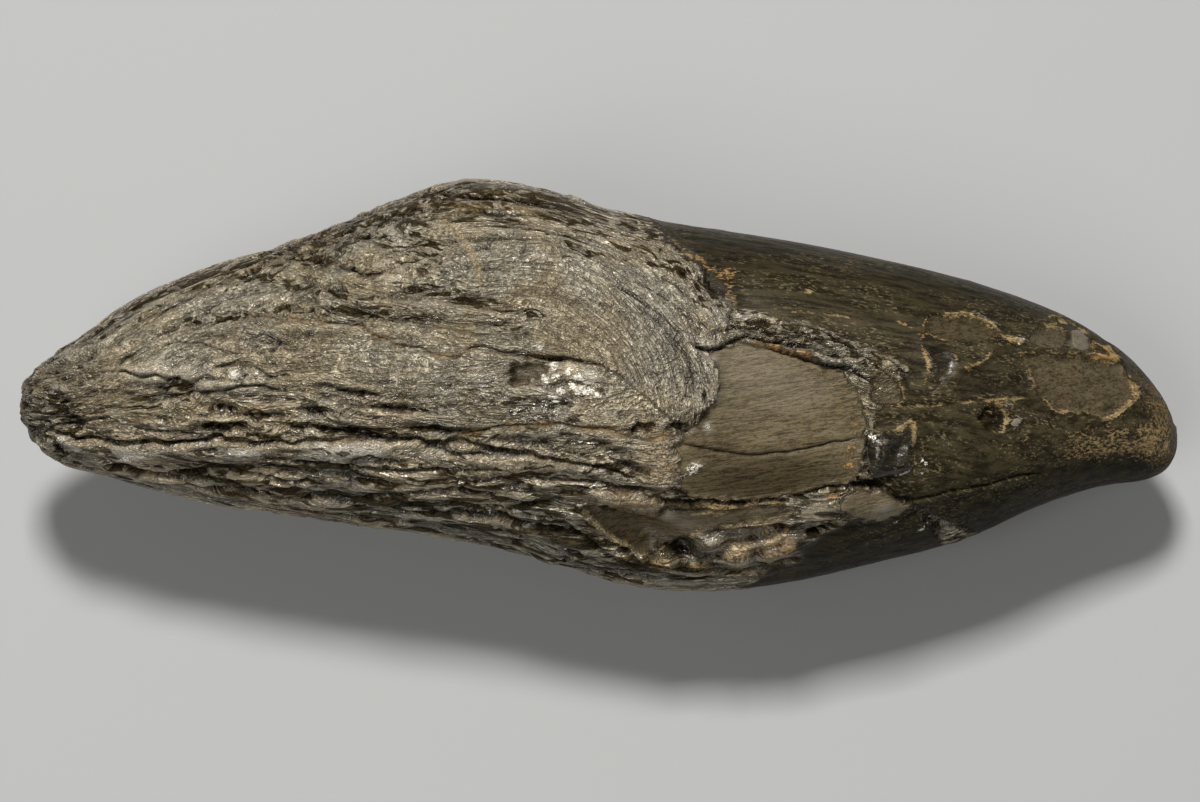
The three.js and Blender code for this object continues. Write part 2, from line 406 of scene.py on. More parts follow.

# Lumps and hollows on the broad face, with painted highlights on glossy places and painted shade in the
# hollows
FACE_SPOTS = [
    # the root's tip: notch, hollows and the glossy edge of the lower lobe
    spot(-74.5, -3.3, 3, 0.8, -8, -0.9), dark(-73, 0, 6, 5, 0, 0, 1.5, 0.3),
    dark(-69, -2.4, 1.4, 1, 0, -0.5, 1.5, 0.3), painted_highlight(-70.4, -4.5, 0.7, 0.3, -20, 0.2, 1.6, 1, 1),
    dark(-70.6, -0.6, 0.9, 1.6, 20, -0.4, 1.2, 0.7), spot(-72.8, -0.8, 0.8, 0.6, 30, 0.4),
    tan(-73.6, 1.6, 0.9, 0.6, 60, 0.35, 0.5), pale(-71.2, 2.3, 1.7, 0.9, -15, 0.5, 1.3, 0.7, 0.6),
    grey(-69.8, 2.2, 0.8, 0.5, 0, 0.3, 0.4), spot(-74, -1, 1.2, 2.2, 0, 0, tan=0.4, rough=0.8),
    dark(-72, 0.6, 1, 0.4, 40, -0.3, 0.6),
    # swellings and pits of the root's left half
    pale(-59.4, 4.3, 3.8, 1.5, 4, 0.7, 1.8, 0.8, 0.5), pale(-54, 4.1, 1.8, 1.2, 0, 0.6, 1.6, 0.8, 0.5),
    dark(-56.3, 2.6, 4.4, 0.5, 6, -0.35, 1.3, 0.5), pale(-59, 4.2, 0.9, 0.5, 0, 0.25, 1, 0.5),
    pale(-57.2, 3.6, 1.1, 0.5, -8, 0.25, 1, 0.5), pale(-64.6, 3.7, 0.5, 0.9, -20, 0.45, 0.8, 0.7),
    pale(-65.8, 3.2, 0.4, 0.7, -10, 0.4, 0.8, 0.6), pale(-66.8, 3, 0.5, 0.5, 0, 0.35, 0.8, 0.5),
    pale(-48.5, 4, 5.5, 1.8, -4, 0.5, 0.5, 0.3), painted_highlight(-48, 3.9, 0.8, 0.7, 0, 0.4, 1.2, 1, 0.9),
    pale(-51, 2.6, 1.9, 0.9, -4, 0.5, 1.6, 0.8, 0.7), ochre(-47.5, 5.4, 2.4, 0.25, -8, 0.1, 0.9, 0.3),
    pale(-44.8, 3.9, 1.6, 0.6, -18, 0.2, 0.6, 0.3), dark(-58.5, 1, 3.6, 0.8, 4, -0.45, 1.2, 0.45),
    gloss(-61.2, 2, 1.6, 0.3, -10, 0.25, 0.4), dark(-54.6, 1.7, 0.8, 1, 30, -0.3, 0.35),
    dark(-49, -0.5, 2.4, 0.65, -4, -0.6, 1.3, 0.55), dark(-43.2, -1.5, 2.5, 0.7, -3, -0.6, 1.3, 0.6),
    dark(-49.6, -2.9, 3.6, 0.6, 3, -0.6, 1.5, 0.65), dark(-44.4, -4.2, 2.6, 0.4, -10, -0.4, 1.4, 0.6),
    tan(-54, -2.4, 2.6, 0.35, 14, 0.4, 0.3), spot(-49.4, -1.9, 3.2, 0.3, 0, 0.45, gloss=0.3, tan=0.4),
    tan(-44.4, -2.9, 2.8, 0.3, -8, 0.45, 0.25), tan(-46.5, -1, 1.6, 0.3, -25, 0.3, 0.3),
    gloss(-62.5, -1.3, 1.6, 0.5, -6, 0.3, 0.6), spot(-57, -2.2, 3, 0.4, -3, 0.3),
    dark(-61, -0.3, 5, 0.35, 3, -0.35, 0.4), dark(-37, -0.8, 3, 0.4, -5, -0.4, 0.5),
    dark(-33, 1.6, 3.5, 0.45, -6, -0.4, 0.45), dark(-26, -0.5, 4, 0.45, -4, -0.4, 0.45),
    dark(-36, -3, 4, 0.5, -6, -0.5, 1.2, 0.6), dark(-32, -3.7, 6.2, 0.55, -3, -0.7, 1.3, 0.7),
    dark(-22, -3.2, 4.5, 0.5, -2, -0.5, 1.3, 0.6),
    # the pale smooth rib below the main split, and the dark band below that
    pale(-61.5, -6.3, 3.6, 0.9, -5, 0.3, 0.6, 0.35), painted_highlight(-62, -6.9, 0.7, 0.35, 0, 0.2, 1, 0.9),
    pale(-53.5, -6.2, 2.2, 0.8, -5, 0.2, 0.5, 0.4), ochre(-52.7, -7, 0.6, 0.6, 0, 0.15, 0.9, 0.3),
    pale(-46.5, -6.2, 2.6, 0.6, 6, 0.35, 0.9, 0.8), pale(-33, -5.8, 6, 0.9, -4, 0.45, 0.8, 0.8),
    pale(-22, -6.6, 5, 0.8, -2, 0.3, 0.5, 0.4), dark(-49, -8.1, 8, 0.6, -3, -0.45, 1.3, 0.75),
    dark(-63, -7.9, 3, 0.5, -12, -0.35, 0.6), dark(-34, -8.4, 4.5, 0.6, -6, -0.35, 1.3, 0.5),
    dark(-40, -11.4, 9, 0.6, -5, -0.4, 1.3, 0.7), dark(-24, -12.9, 6, 0.45, -5, -0.35, 1.3, 0.7),
    tan(-48, -12, 3.5, 0.5, -4, 0.2, 0.6), tan(-37.5, -13.7, 3, 0.5, -4, 0.2, 0.6),
    tan(-32, -14.9, 3, 0.4, -5, 0.2, 0.6), pale(-30, -10.9, 4, 0.5, -3, 0.3, 0.4, 0.4),
    spot(-24, 21, 6, 5, -20, -0.35, 0.8, grey=0.35, dark=0.2),
    # dark lens-shaped streaks of the upper root
    dark(-37.5, 18.9, 3.8, 0.7, -13, -0.15, 1.3, 0.6), dark(-52, 16.4, 4.5, 0.8, 14, -0.15, 1.3, 0.5),
    dark(-43.6, 16.5, 4, 0.5, -8, -0.15, 1.3, 0.6), dark(-34.8, 14.6, 5, 0.5, -8, -0.15, 1.3, 0.75),
    dark(-30.3, 17.6, 2.4, 0.5, -12, -0.15, 1.3, 0.7), dark(-24.4, 15.2, 4.6, 0.5, -10, -0.15, 1.3, 0.8),
    dark(-17.5, 13.8, 4.6, 0.7, -14, -0.15, 1.3, 0.8), dark(-29.7, 12.1, 5.5, 0.7, -4, -0.15, 1.3, 0.6),
    dark(-10.5, 12.2, 2.6, 0.6, -10, -0.15, 1.3, 0.6), dark(-40.5, 12.6, 4, 0.5, -6, -0.15, 1.3, 0.6),
    dark(-12, 9.9, 2.2, 1, -10, 0, 1.3, 0.3), dark(-48.5, 11.5, 5, 0.5, 4, -0.15, 1.3, 0.55),
    pale(-27.5, 16.4, 1.6, 0.7, -8, 0.35, 1.3, 0.8, 0.6), tan(-33, 16.4, 2.6, 0.6, -10, 0.3, 1.3, 0.5),
    # where the root's grain is fine and low
    calm(-58, 5, 11, 4.5, 0, 0, 0.7), calm(-50, 13, 14, 4.5, 12, 0, 0.6), calm(-27, 6, 16, 5, -4, 0, 0.75),
    calm(-24, 19, 9, 6, 0, 0, 1.5, 0.8), calm(-3, 14, 14, 9, -20, 0, 1.5, 0.8),
    calm(4, 0.5, 9, 4, -8, 0, 1.5, 0.9),
    # the glossy broken place in the middle, with its square pit
    calm(-2, 1.5, 8.5, 4.2, -12, 0, 2, 0.6), dark(-11.7, 3.9, 0.45, 1.3, 0, -0.3, 2, 1),
    dark(-11.2, 3.2, 0.9, 0.5, 0, -0.2, 2, 0.9), dark(-6.9, 6.1, 3, 0.4, -6, -0.6, 1.8, 1),
    grey(-9.6, 5.7, 1, 0.3, 0, 0.3, 1.5, 0.6), pale(-2.8, 4.1, 2.9, 1.1, -20, 0.15, 1.8, 1, 0.55),
    pale(-1.2, 3.9, 1.4, 0.7, -20, 0.25, 2, 1, 0.6), dark(-4.4, 3.1, 2.6, 0.3, -10, -0.2, 1.5, 0.4),
    spot(-9, -0.6, 5.2, 1.7, 0, -0.45, 1.8, dark=0.45, gloss=1),
    spot(-3.8, -0.4, 1.8, 1.5, 0, -0.3, 1.2, dark=0.4, gloss=0.8),
    pale(-12.5, 0.7, 1.2, 0.3, 20, 0.25, 0.6, 0.5), pale(-10.3, 0.2, 1.6, 0.25, 35, 0.25, 0.8, 0.6),
    pale(-7.9, -0.6, 1.8, 0.25, 30, 0.3, 0.8, 0.6), gloss(-17, 2, 5, 1.2, 0, 0.3, 0.3),
    pale(-16, 3.9, 3, 1, 0, 0.3, 0.7, 0.5),
    # below the ledge
    dark(-10, -4.9, 5, 0.9, -8, -0.3, 0.25),
    spot(1.8, -6.6, 4.2, 1.3, -14, -0.3, 1.3, dark=0.4, gloss=0.6, calm=0.8),
    spot(3.6, -8.1, 2.9, 0.6, -6, -0.5, 1.5, dark=0.8, calm=0.8),
    spot(-9, -7.9, 10, 1.1, -7, 0.1, 1.5, calm=0.8, tan=0.25), pale(2.6, -5.2, 1.4, 0.6, -25, 0.5, 0.9, 0.6),
    pale(5.4, -7.2, 1, 0.6, 20, 0.5, 0.6, 0.5), dark(5.5, -8.9, 1.1, 0.6, 0, -0.7, 0.7),
    dark(3.4, -3.2, 1.4, 0.3, -6, -0.3, 1.4, 0.6), dark(-10, -9.1, 11, 0.5, 1, -0.2, 1.5, 0.6),
    spot(7.3, -7.5, 2.6, 4.2, 10, 0.25, 1.6, tan=0.3, sand=1, rough=0.6),
    spot(3, -12, 3.2, 0.7, -4, 0.3, tan=0.6, sand=0.6), pale(6.8, -13.1, 1, 0.5, 10, 0.3, 0.9, 0.6),
    painted_highlight(12.1, -8.5, 1.4, 0.5, 35, 0.3, 1, 0.75),
    # round the top of the bare dentine
    grey(14.2, 11, 2.1, 1.8, 0, 0.5, 1.2, 0.4), gloss(13.4, 8.8, 0.7, 0.5, 30, 0.4, 0.9),
    gloss(12.6, -0.2, 1.2, 1.2, 0, 0.4, 0.5), gloss(14, 1.9, 1.6, 0.9, -20, 0.35, 0.3),
    spot(13.4, 4.9, 1.9, 1.1, -40, 0.35), grey(20, 11.3, 1.8, 0.8, -30, 0.25, 0.5),
    pale(14.6, 6, 1, 0.6, -30, 0.45, 1.3, 0.8, 0.7), pale(15.2, 3.4, 0.6, 0.9, 0, 0.4, 1.3, 0.6, 0.5),
    pale(14.9, 0.9, 0.9, 0.5, -60, 0.4, 1.3, 0.8, 0.8), dark(13, 2.4, 0.5, 1.4, 10, -0.2, 1.3, 0.4),
    ochre(20.2, 8.1, 1.6, 0.4, -4, 0.1, 1.4, 1, 0.8), ochre(23.2, 7.4, 2, 0.5, -12, 0.1, 1.4, 1, 0.7),
    ochre(26.2, 6.7, 1.6, 0.45, -14, 0.1, 1.4, 1, 0.6), dark(13.6, -1.6, 0.8, 1.1, -30, -0.35, 1.3, 0.6),
    pale(14.3, -3.2, 1, 0.5, -40, 0.35, 1.3, 0.7, 0.6), pale(11.8, -3.6, 0.9, 0.5, 30, 0.35, 1.3, 0.6, 0.5),
    grey(12.4, 1, 3, 2.6, 60, 0, 1.4, 0.2), spot(22, 9.6, 9, 1.2, -4, 0, 1.4, dark=0.35, rough=1, calm=0.6),
    spot(19.6, 9.9, 1.6, 0.5, -10, 0.2, 1.4, tan=0.4, grey=0.3),
    spot(17.5, 11.8, 5, 3.6, -20, 0, 1.6, calm=1, rough=0.3, gloss=0.3),
    dark(15, 15.2, 3, 3.4, -30, 0, 1.4, 0.4), gloss(13.6, 11.9, 0.9, 0.6, 20, 0.5, 1.4, 0.6),
    gloss(16.6, 13, 1.5, 1, -20, 0.45, 1.3, 0.4),
    spot(34, 6.6, 4, 1.2, -30, 0, 1.4, dark=0.4, rough=1, calm=0.5),
    # streaks of ochre along the border of root and crown
    ochre(11.6, 19.6, 4.2, 0.8, -35, 0.1, 1.2, 0.8, 0.5), ochre(16.6, 17.4, 2.6, 0.8, 0, 0.1, 1.2, 0.6, 0.3),
    ochre(16.8, 14.4, 1.3, 2.4, 10, 0.1, 1.2, 0.75, 0.1), tan(5, 20.5, 2.6, 1, -35, 0.1, 1, 0.5),
    dark(13.4, 15.6, 1.3, 2.2, 40, -0.25, 1.2, 0.7), dark(10.3, 17.9, 2, 0.8, -25, -0.2, 1.2, 0.6),
    tan(26.9, 14.8, 0.8, 0.4, 0, 0.1, 1.5, 0.9), tan(-18, 26, 4, 1, -8, 0.1, 1, 0.6),
    tan(-10, 25.5, 4, 0.8, -12, 0.1, 1, 0.6),
    # the bare dentine's dark foot, pale top and ochre right side
    dark(21, -9.9, 12, 3.4, 4, 0, 1.5, 0.7), dark(15, -5, 4.5, 4.5, 0, 0, 1.2, 0.25),
    grey(21, 4, 8, 4.4, -14, 0, 1.3, 0.25), tan(28, 4.4, 4.5, 1.2, -28, 0, 1.2, 0.5),
    ochre(33, -4, 1, 6, -3, 0, 1.4, 0.62, 0.1), ochre(32.5, -5.7, 0.5, 0.5, 0, 0.1, 1, 0.8),
    ochre(32.3, -8, 1, 0.5, 10, 0.1, 1, 0.9),
    # the chip's corner with a painted highlight, and the gap under it with painted shade
    painted_highlight(35.5, -4.4, 0.3, 0.8, 25, 0.2, 1.6, 1, 0.9), pale(36.6, -4.9, 1, 0.3, 12, 0.35, 1.6, 1, 0.9),
    pale(36, -6.6, 0.7, 1.6, -12, 0.4, 1.5, 1, 0.4),
    spot(38.6, -5.6, 1.3, 1.2, 20, -0.5, 1.5, gloss=1, dark=0.8),
    spot(38.6, -8, 1.6, 0.6, 10, 0.3, 1.4, tan=0.45, gloss=0.5),
    painted_highlight(39.2, -8.9, 0.7, 0.2, 18, 0.2, 1.6, 1, 0.9), dark(35.2, -10.5, 1.5, 0.7, 0, -0.9, 1.4, 1),
    # the pit in the crown, with its grey neighbours
    tan(51, -1, 0.7, 0.4, 0, 0.4, 1.4, 0.6), tan(50.4, -2.4, 0.5, 0.4, 30, 0.4, 1.4, 0.5),
    grey(54, -2.3, 0.9, 0.7, 30, 0.25, 1.6, 0.6), pale(53.3, 0.1, 0.9, 0.3, 8, 0.3, 1.6, 1, 0.6),
    pale(43, 5.4, 0.4, 1.4, 12, 0.3, 1.4, 1, 0.5), pale(43, 2.2, 0.9, 0.8, -40, 0.2, 1.4, 0.6, 0.35),
    dark(66.1, -0.2, 1.1, 0.55, 8, 0.4, 1.4, 0.3), pale(50.3, 11.1, 1.6, 0.2, -33, 0.15, 1.4, 0.8, 0.6),
    ochre(42, 9.4, 1, 1.6, -30, 0, 1.2, 0.45, 0.3), ochre(53.6, 8.8, 1.8, 0.7, -5, 0, 1.2, 0.5, 0.2),
    white(54.6, 8.5, 0.5, 0.35, -15, 0.2, 1.4, 0.8), tan(42.5, 0.5, 1.1, 0.7, 40, 0.1, 1.2, 0.6),
    ochre(47.8, 4.9, 0.9, 0.4, 20, 0.1, 1.2, 0.6, 0.3), tan(50.6, 7, 1.2, 0.35, 50, 0.1, 1.2, 0.55),
    # the gouge, with the shiny lumps in it
    dark(4.8, -16.6, 5.6, 2.2, -22, -1.7, 1.3, 0.2), dark(2.2, -15.6, 3.6, 1, -24, 0, 1.5, 0.3),
    grey(9.6, -15.4, 2.4, 0.8, -10, 0, 1.5, 0.3), tan(13.5, -14.2, 4, 0.4, 4, 0.15, 1.4, 0.7),
    ochre(4.3, -12.4, 1.8, 0.5, -8, 0.3, 1.3, 0.9, 0.5), ochre(2, -12.4, 1.6, 0.4, 4, 0.3, 1.3, 0.8, 0.3),
    ochre(5.6, -14, 1.4, 0.6, 10, 0.25, 1.3, 0.8, 0.4), pale(8.6, -14.6, 1.2, 0.9, 40, 0.3, 1.5, 0.5, 0.4),
    tan(17, -14.2, 7, 0.9, 3, 0.3, 1.4, 0.2),
    spot(17.5, -18.6, 7, 2.4, 6, 0, 2, calm=1, gloss=0.7, grey=0.55, tan=0.6, ochre=0.15),
    dark(10.9, -18.9, 1.3, 1.1, 30, -0.9, 1.4, 0.7), pale(13.6, -18, 2.3, 1.2, 12, 1, 1.3, 1, 0.25),
    dark(12.6, -19, 1.5, 0.3, -30, -0.5, 1.3, 0.4),
    spot(8.4, -19.9, 1.6, 0.6, -12, 0.5, 1.3, gloss=1, grey=0.4, tan=0.4),
    dark(21.6, -16.6, 2.3, 0.75, 12, -1.2, 1.6, 1), pale(20.6, -16.1, 1.4, 0.3, 12, 0, 1.6, 1, 0.4),
    spot(17.9, -20, 2, 1, 5, 0.9, 1.4, gloss=0.9, grey=0.4, tan=0.5),
    spot(22.4, -19.2, 1.9, 0.9, 18, 0.8, 1.4, gloss=0.9, grey=0.3, tan=0.5),
    dark(20.2, -19.3, 0.4, 0.9, -20, -0.5, 1.4, 0.6),
    spot(24.6, -17.8, 0.9, 1.3, -30, 0.5, 1.4, gloss=0.7, tan=0.8, ochre=0.2),
    spot(17.6, -19, 1.6, 0.4, 14, 0.3, 1.4, gloss=0.8, tan=0.9, ochre=0.2),
    painted_highlight(7.4, -19.6, 0.9, 0.4, -20, 0.3, 1.4, 1, 0.7),
    spot(28.3, -14, 3, 1.3, 16, 0.35, 1.5, gloss=1, rough=1, grey=0.5),
    dark(28, -16.4, 1.4, 0.4, 12, -0.5, 1.4, 0.7), ochre(30, -11.9, 1.2, 0.45, 4, 0.2, 1.4, 1, 1),
    pale(36.6, -13, 1.6, 0.8, 15, 0.2, 1.6, 0.6, 0.5), spot(-5.5, -19.4, 3.4, 1.1, -18, 0.5, 1.3),
    # whitish crumbs on the crown
    white(38.6, -15.2, 0.7, 0.25, 15, 0.15, 1.4, 0.8), white(41.8, -16.1, 0.8, 0.3, 35, 0.15, 1.4, 0.7),
    white(41.6, -8.8, 0.4, 0.2, -30, 0.15, 1.4, 0.8), white(42.2, -7.4, 0.6, 0.2, -35, 0.15, 1.4, 0.7),
    # the crown's speckled tip
    tan(67, -5.2, 6, 1.6, -2, 0, 1, 0.68),
    spot(73, -5.6, 3.4, 3.6, 0, 0, 1.2, tan=0.72, ochre=0.1, rough=0.8),
    spot(71.5, 1.6, 4.5, 2.6, -38, 0, 1.4, tan=0.5, ochre=0.1, rough=0.6),
    tan(62, -6.5, 6, 2, 4, 0, 1.2, 0.5), tan(68, -3, 5, 1.2, -4, 0, 1.2, 0.5),
    tan(61, -4, 5, 0.9, 2, 0, 1.2, 0.42), spot(74, -1, 2.5, 3.5, 0, 0, 1.4, tan=0.36, ochre=0.1, rough=0.8),
]

# Painted highlights on small glossy bits of the broken place in the middle
WHITE_BITS = [(-7.4, 3.4), (-6.0, 4.0), (-4.5, 4.3), (-3.1, 3.6), (-8.2, 7.6), (-6.5, 5.3), (-6.4, 1.1),
              (-5.3, 1.9), (-3.6, 2.3), (-1.9, 1.8), (-0.6, 1.3), (-6.2, 0.3), (-2.9, 2.0)]
BIT_SIZES = ((0.8, 0.4), (0.5, 0.4), (0.65, 0.35))
BIT_TURN = 37  # degrees from one bit to the next
for count, (bit_x, bit_up) in enumerate(WHITE_BITS):
    size = BIT_SIZES[count % len(BIT_SIZES)]
    FACE_SPOTS.append(painted_highlight(bit_x, bit_up, *size, BIT_TURN * count % 90 - 45, 0.2, 1.4, 1.0, 1.0))

# Bounded patches of the broad face
FACE_PLATES = [
    # the window of bare dentine
    plate(-0.5, 0.35, (13.9, 6.9), (15.3, 7.2), (16.9, 7.8), (18.7, 8.4), (20.8, 8.2), (23.2, 7.5),
          (27.5, 6.2), (29.5, 5.3), (31.5, 4.3), (33, 2.6), (34, 0.4), (34.4, -3), (34.3, -6), (33.6, -8.6),
          (32.3, -10.3), (29, -10.8), (26, -11.6), (22, -12.2), (18, -12.5), (12.6, -12.4), (11.2, -12),
          (10.4, -10.4), (10.9, -9.2), (10, -8), (10.4, -6.6), (9.6, -5.4), (11, -3.4), (13.3, -1.8),
          (14.2, -0.4), (14.9, 0.8), (15.3, 2.6), (15.1, 4.6), (14.2, 6.2), rim=0.1, ragged=0.5, dentine=1),
    # bare dentine under the long split, and down the smooth scoop of the gouge
    plate(-0.2, 0.4, (-2.3, -13.2), (0, -14.1), (2.5, -15.1), (5, -15.5), (7.4, -14.9), (8.4, -13.8),
          (12, -13.6), (16, -13.6), (22, -13.3), (25, -13.2), (25.6, -14), (24, -14.6), (19.5, -15.2),
          (15.5, -15.6), (12.3, -16.6), (10.3, -17.6), (8.8, -18.7), (6.3, -19.6), (3.9, -19), (1.5, -17.5),
          (-0.8, -15.6), ragged=0.4, dentine=1, gloss=0.2),
    # the crumbly tan lump above the scoop
    plate(0.4, 0.5, (-1.2, -11.4), (1.5, -11.1), (5, -11.5), (7.2, -12.3), (8, -13.4), (7.3, -14.6),
          (5, -15.1), (2.4, -14.7), (0, -13.5), ragged=0.6, tan=0.3, sand=0.55, calm=0.8, rough=0.3),
    # the square pit in the middle
    plate(-0.7, 0.8, (-12.1, 3.1), (-11.9, 5.5), (-10.9, 5.4), (-9.6, 5.7), (-8.2, 5.3), (-6.9, 5.1),
          (-7.6, 4.2), (-8.6, 3.2), (-9.6, 3.1), (-10.9, 2.5), ragged=1, dentine=0.9, dark=0.55, gloss=0.2),
    # the ragged hollows over the ledge
    plate(-0.5, 0.35, (3.9, -3.4), (4.6, -2.2), (5.4, -2.6), (6.3, -2.2), (7.3, -3.3), (6.2, -3.9), (5, -4),
          ragged=0.4, dark=0.7, calm=0.5),
    plate(-0.5, 0.35, (8.2, -3.2), (8.9, -2.5), (10, -2.1), (10.9, -2.6), (11.2, -3.6), (9.8, -3.4),
          ragged=0.4, dark=0.65, calm=0.5),
    # the glossy edge of the root's lower lobe, and the hollow beside it
    plate(0.35, 0.3, (-71.6, -3.9), (-70.2, -4), (-68.6, -4.8), (-67.2, -6.1), (-68.8, -5.9), (-70.1, -5.4),
          grey=0.8, gloss=1),
    plate(-0.5, 0.3, (-71.8, -4.5), (-70.6, -5.5), (-70, -7), (-71.2, -6.8), dark=0.8),
    # the pale smooth ribs under the main split
    plate(0.3, 0.6, (-40.2, -4.9), (-36, -4.8), (-32, -4.7), (-29, -4.9), (-27.2, -5.4), (-27.4, -6.2),
          (-30, -6.7), (-33, -6.4), (-36, -6), (-39, -5.7), ragged=0.5, grey=0.6, gloss=1, calm=1),
    plate(0.25, 0.5, (-64, -5.4), (-61, -5.3), (-58, -5.3), (-56.6, -5.8), (-58, -6.8), (-61, -7.3),
          (-63.5, -6.9), ragged=0.6, grey=0.6, gloss=0.8, calm=1),
    plate(0.25, 0.5, (-50.5, -5.5), (-47, -5.2), (-44, -5.6), (-43.2, -6.1), (-45, -6.7), (-48.5, -6.5),
          ragged=0.5, grey=0.75, gloss=0.9, calm=1),
    # the tan shelf under the overhang
    plate(0.3, 0.25, (17.5, 8.3), (20, 8.8), (22, 8), (25, 7.4), (27.4, 7.3), (27.2, 6.2), (25, 6.6),
          (22, 7.3), (19, 7.8), tan=0.5, ochre=0.5),
    # the grey plate at the shelf's right end
    plate(0.35, 0.25, (27.2, 7.4), (28.3, 7.7), (29.6, 6.6), (30.4, 5.4), (29, 5.5), (27.6, 6.2), tan=0.3,
          grey=0.3),
    # the olive plate in its tan ring
    plate(-0.35, 0.3, (35, 1), (35.2, 3.8), (36.7, 4.7), (38.6, 3.1), (39.5, 0.9), (38.5, 0), (36, -0.2),
          rim=0.2, rim_width=0.3, tan=0.8, dentine=0.6, dark=0.4),
    # the black chip beside the bare dentine
    plate(0.3, 0.4, (35.1, -3.9), (36.7, -3.6), (38.6, -3.9), (40.1, -3.2), (40.7, -3.9), (40.7, -8.9),
          (39.7, -8.9), (37.8, -9.6), (35.2, -10.2), (35.1, -7.8), (34.8, -5.8), ragged=0.6, dark=0.65,
          gloss=0.9),
    # the smooth pale plate under the chip
    plate(0.4, 0.4, (31, -12), (33, -11), (37, -11.2), (38.6, -12.4), (40.2, -13), (38.5, -14.3), (36, -15.1),
          (33, -14.8), (31.3, -13.6), ragged=0.3, dentine=1, gloss=0.3),
    # the oval scar and the dark hollows on the crown
    plate(-0.4, 0.35, (42, 10.4), (42.4, 11.4), (43.9, 11.8), (46.2, 12), (47.8, 11.8), (49.7, 11.2),
          (51.2, 10.2), (51.8, 9.5), (50.8, 8.5), (48.1, 8.4), (45.5, 8.5), (43.5, 8.9), (42.4, 9.5),
          rim=0.25, rim_width=0.35, tan=1, dentine=0.7, dark=0.6),
    plate(-0.5, 0.5, (42.8, 7.3), (43.9, 7.5), (44.8, 7.4), (46.4, 5.4), (45.8, 4.1), (43.9, 3), (43.2, 4.2),
          (43, 5.8), ragged=0.3, dark=0.6, gloss=0.7),
    plate(-0.2, 0.3, (47.6, 4.8), (49.5, 4.9), (51, 6.4), (52, 7.7), (54.8, 7.2), (55.4, 5), (56.2, 2),
          (50, 1.2), (46, 1), (46.6, 3.4), dark=0.35, gloss=0.2),
    # the pit in the crown
    plate(-0.7, 0.4, (50, -0.1), (49.3, -2), (50, -3.2), (51.6, -3.5), (52.5, -3.4), (53, -2), (52.7, -0.9),
          (51.6, 0), rim=0.3, rim_width=0.35, tan=1, ragged=0.3, dark=0.5),
    # the worn flat near the tip, in its ochre rim
    plate(-0.7, 0.4, (55, 6.8), (54.8, 5.7), (56, 4.5), (56.4, 3), (57.3, 1.4), (58.5, -0.1), (60, -1),
          (61.5, -0.8), (63.8, -1.2), (65.7, -1.8), (67.7, -1), (69.2, 0.3), (70.1, 1.6), (69.9, 2.6),
          (69, 3.4), (68.4, 4.9), (67.3, 5.6), (63.8, 6.4), (57.7, 6.8), rim=0.3, rim_width=0.5, tan=1,
          ragged=0.25, dentine=1, dark=0.4),
    # the two glossy lumps above it in their ochre ring
    plate(-0.35, 0.35, (55.9, 8.6), (56.6, 9.9), (58.4, 10.2), (60.4, 9.9), (60.9, 8.8), (60.2, 7.6),
          (57.5, 7.5), rim=0.15, rim_width=0.4, tan=0.75, dentine=0.8, dark=0.4, gloss=0.5),
    plate(0.35, 0.35, (61.1, 9.3), (62.2, 9.7), (63.4, 8.6), (63.6, 7.2), (62.6, 6.9), (61.2, 7.4),
          rim_width=0.3, tan=0.5, dentine=1, gloss=0.8, grey=0.35),
    plate(0.15, 0.5, (63.9, 8.4), (64.8, 8), (66.4, 7.2), (67.3, 6.2), (66.4, 5.8), (64.4, 6.2), ragged=0.4,
          tan=0.9, ochre=0.9),
    plate(0.15, 0.4, (55, 9.7), (57, 11), (60, 11.8), (62, 11.1), (65, 9.2), (67.6, 7.2), (68.6, 5.3),
          (67.6, 5.4), (66, 7.2), (63, 9.6), (60, 10.8), (57, 10.3), (55.6, 9.2), ragged=0.6, tan=0.8,
          sharp=False),
]

# The sides that the photograph hides are like the rest: long cracks, ledges and swellings. They are
# drawn along the tooth and up its back, and on the flanks along it and out towards the face.
BACK_LINES = [
    line(1.4, 0.5, (-72, 1), (-60, 2.5), (-48, 2), (-36, 3.5), (-22, 3), (-8, 4.5), (6, 4), above=0.3,
         below=0.2, tan=0.6, rust=0.2),
    line(1.2, 0.5, (-58, -6), (-44, -7), (-33, -6.4), (-20, -8), (-8, -8.4), (4, -9.6), (14, -9), below=0.3,
         tan=0.4),
    line(0.9, 0.4, (-46, 10), (-36, 11.6), (-25, 12), (-15, 13.4), (-4, 13), above=0.2),
    line(1, 0.45, (-30, -12), (-18, -13), (-6, -14.6), (8, -15), below=0.2, tan=0.5),
    line(0.35, 0.4, (10, 4.2), (18, 3), (27, 4.4), (36, 4), (45, 5.4), tan=0.8),
    line(0.4, 0.4, (-14, -3), (-6, -2.2), (3, -3.8), (11, -3), (15, 0), step=0.8, tan=0.9),
    line(0.6, 0.4, (22, -10), (33, -9), (44, -7.4), (54, -5), below=0.2, tan=0.6),
]
BACK_SPOTS = [
    pale(-62, -2, 6, 1.8, 4, 0.6, 0.5, 0.3), spot(-40, 7, 7, 2.2, -6, 0.6, calm=0.7, gloss=0.3),
    calm(-20, -3, 9, 3, 3, 0, 1.5, 0.8), calm(-5, 9, 8, 3, -12, 0.4, 0.8),
    dark(-33, -1, 4, 0.9, 5, -0.8, 1.3, 0.8), dark(-12, 0.6, 5, 0.8, -5, -0.7, 1.3, 0.7),
    dark(-50, -9, 5, 0.9, -4, -0.6, 1.3, 0.7), dark(-66, 4, 3, 0.8, 10, -0.6, 1.3, 0.6),
    spot(30, -3, 3, 1.8, 20, -0.5, 1.6, dark=0.5, gloss=0.4),
    spot(52, 3, 5, 2.6, -14, -0.4, 2, sand=0.3, rough=1), spot(66, -2, 6, 4, 0, 0, 1.2, tan=0.5, rough=0.6),
]
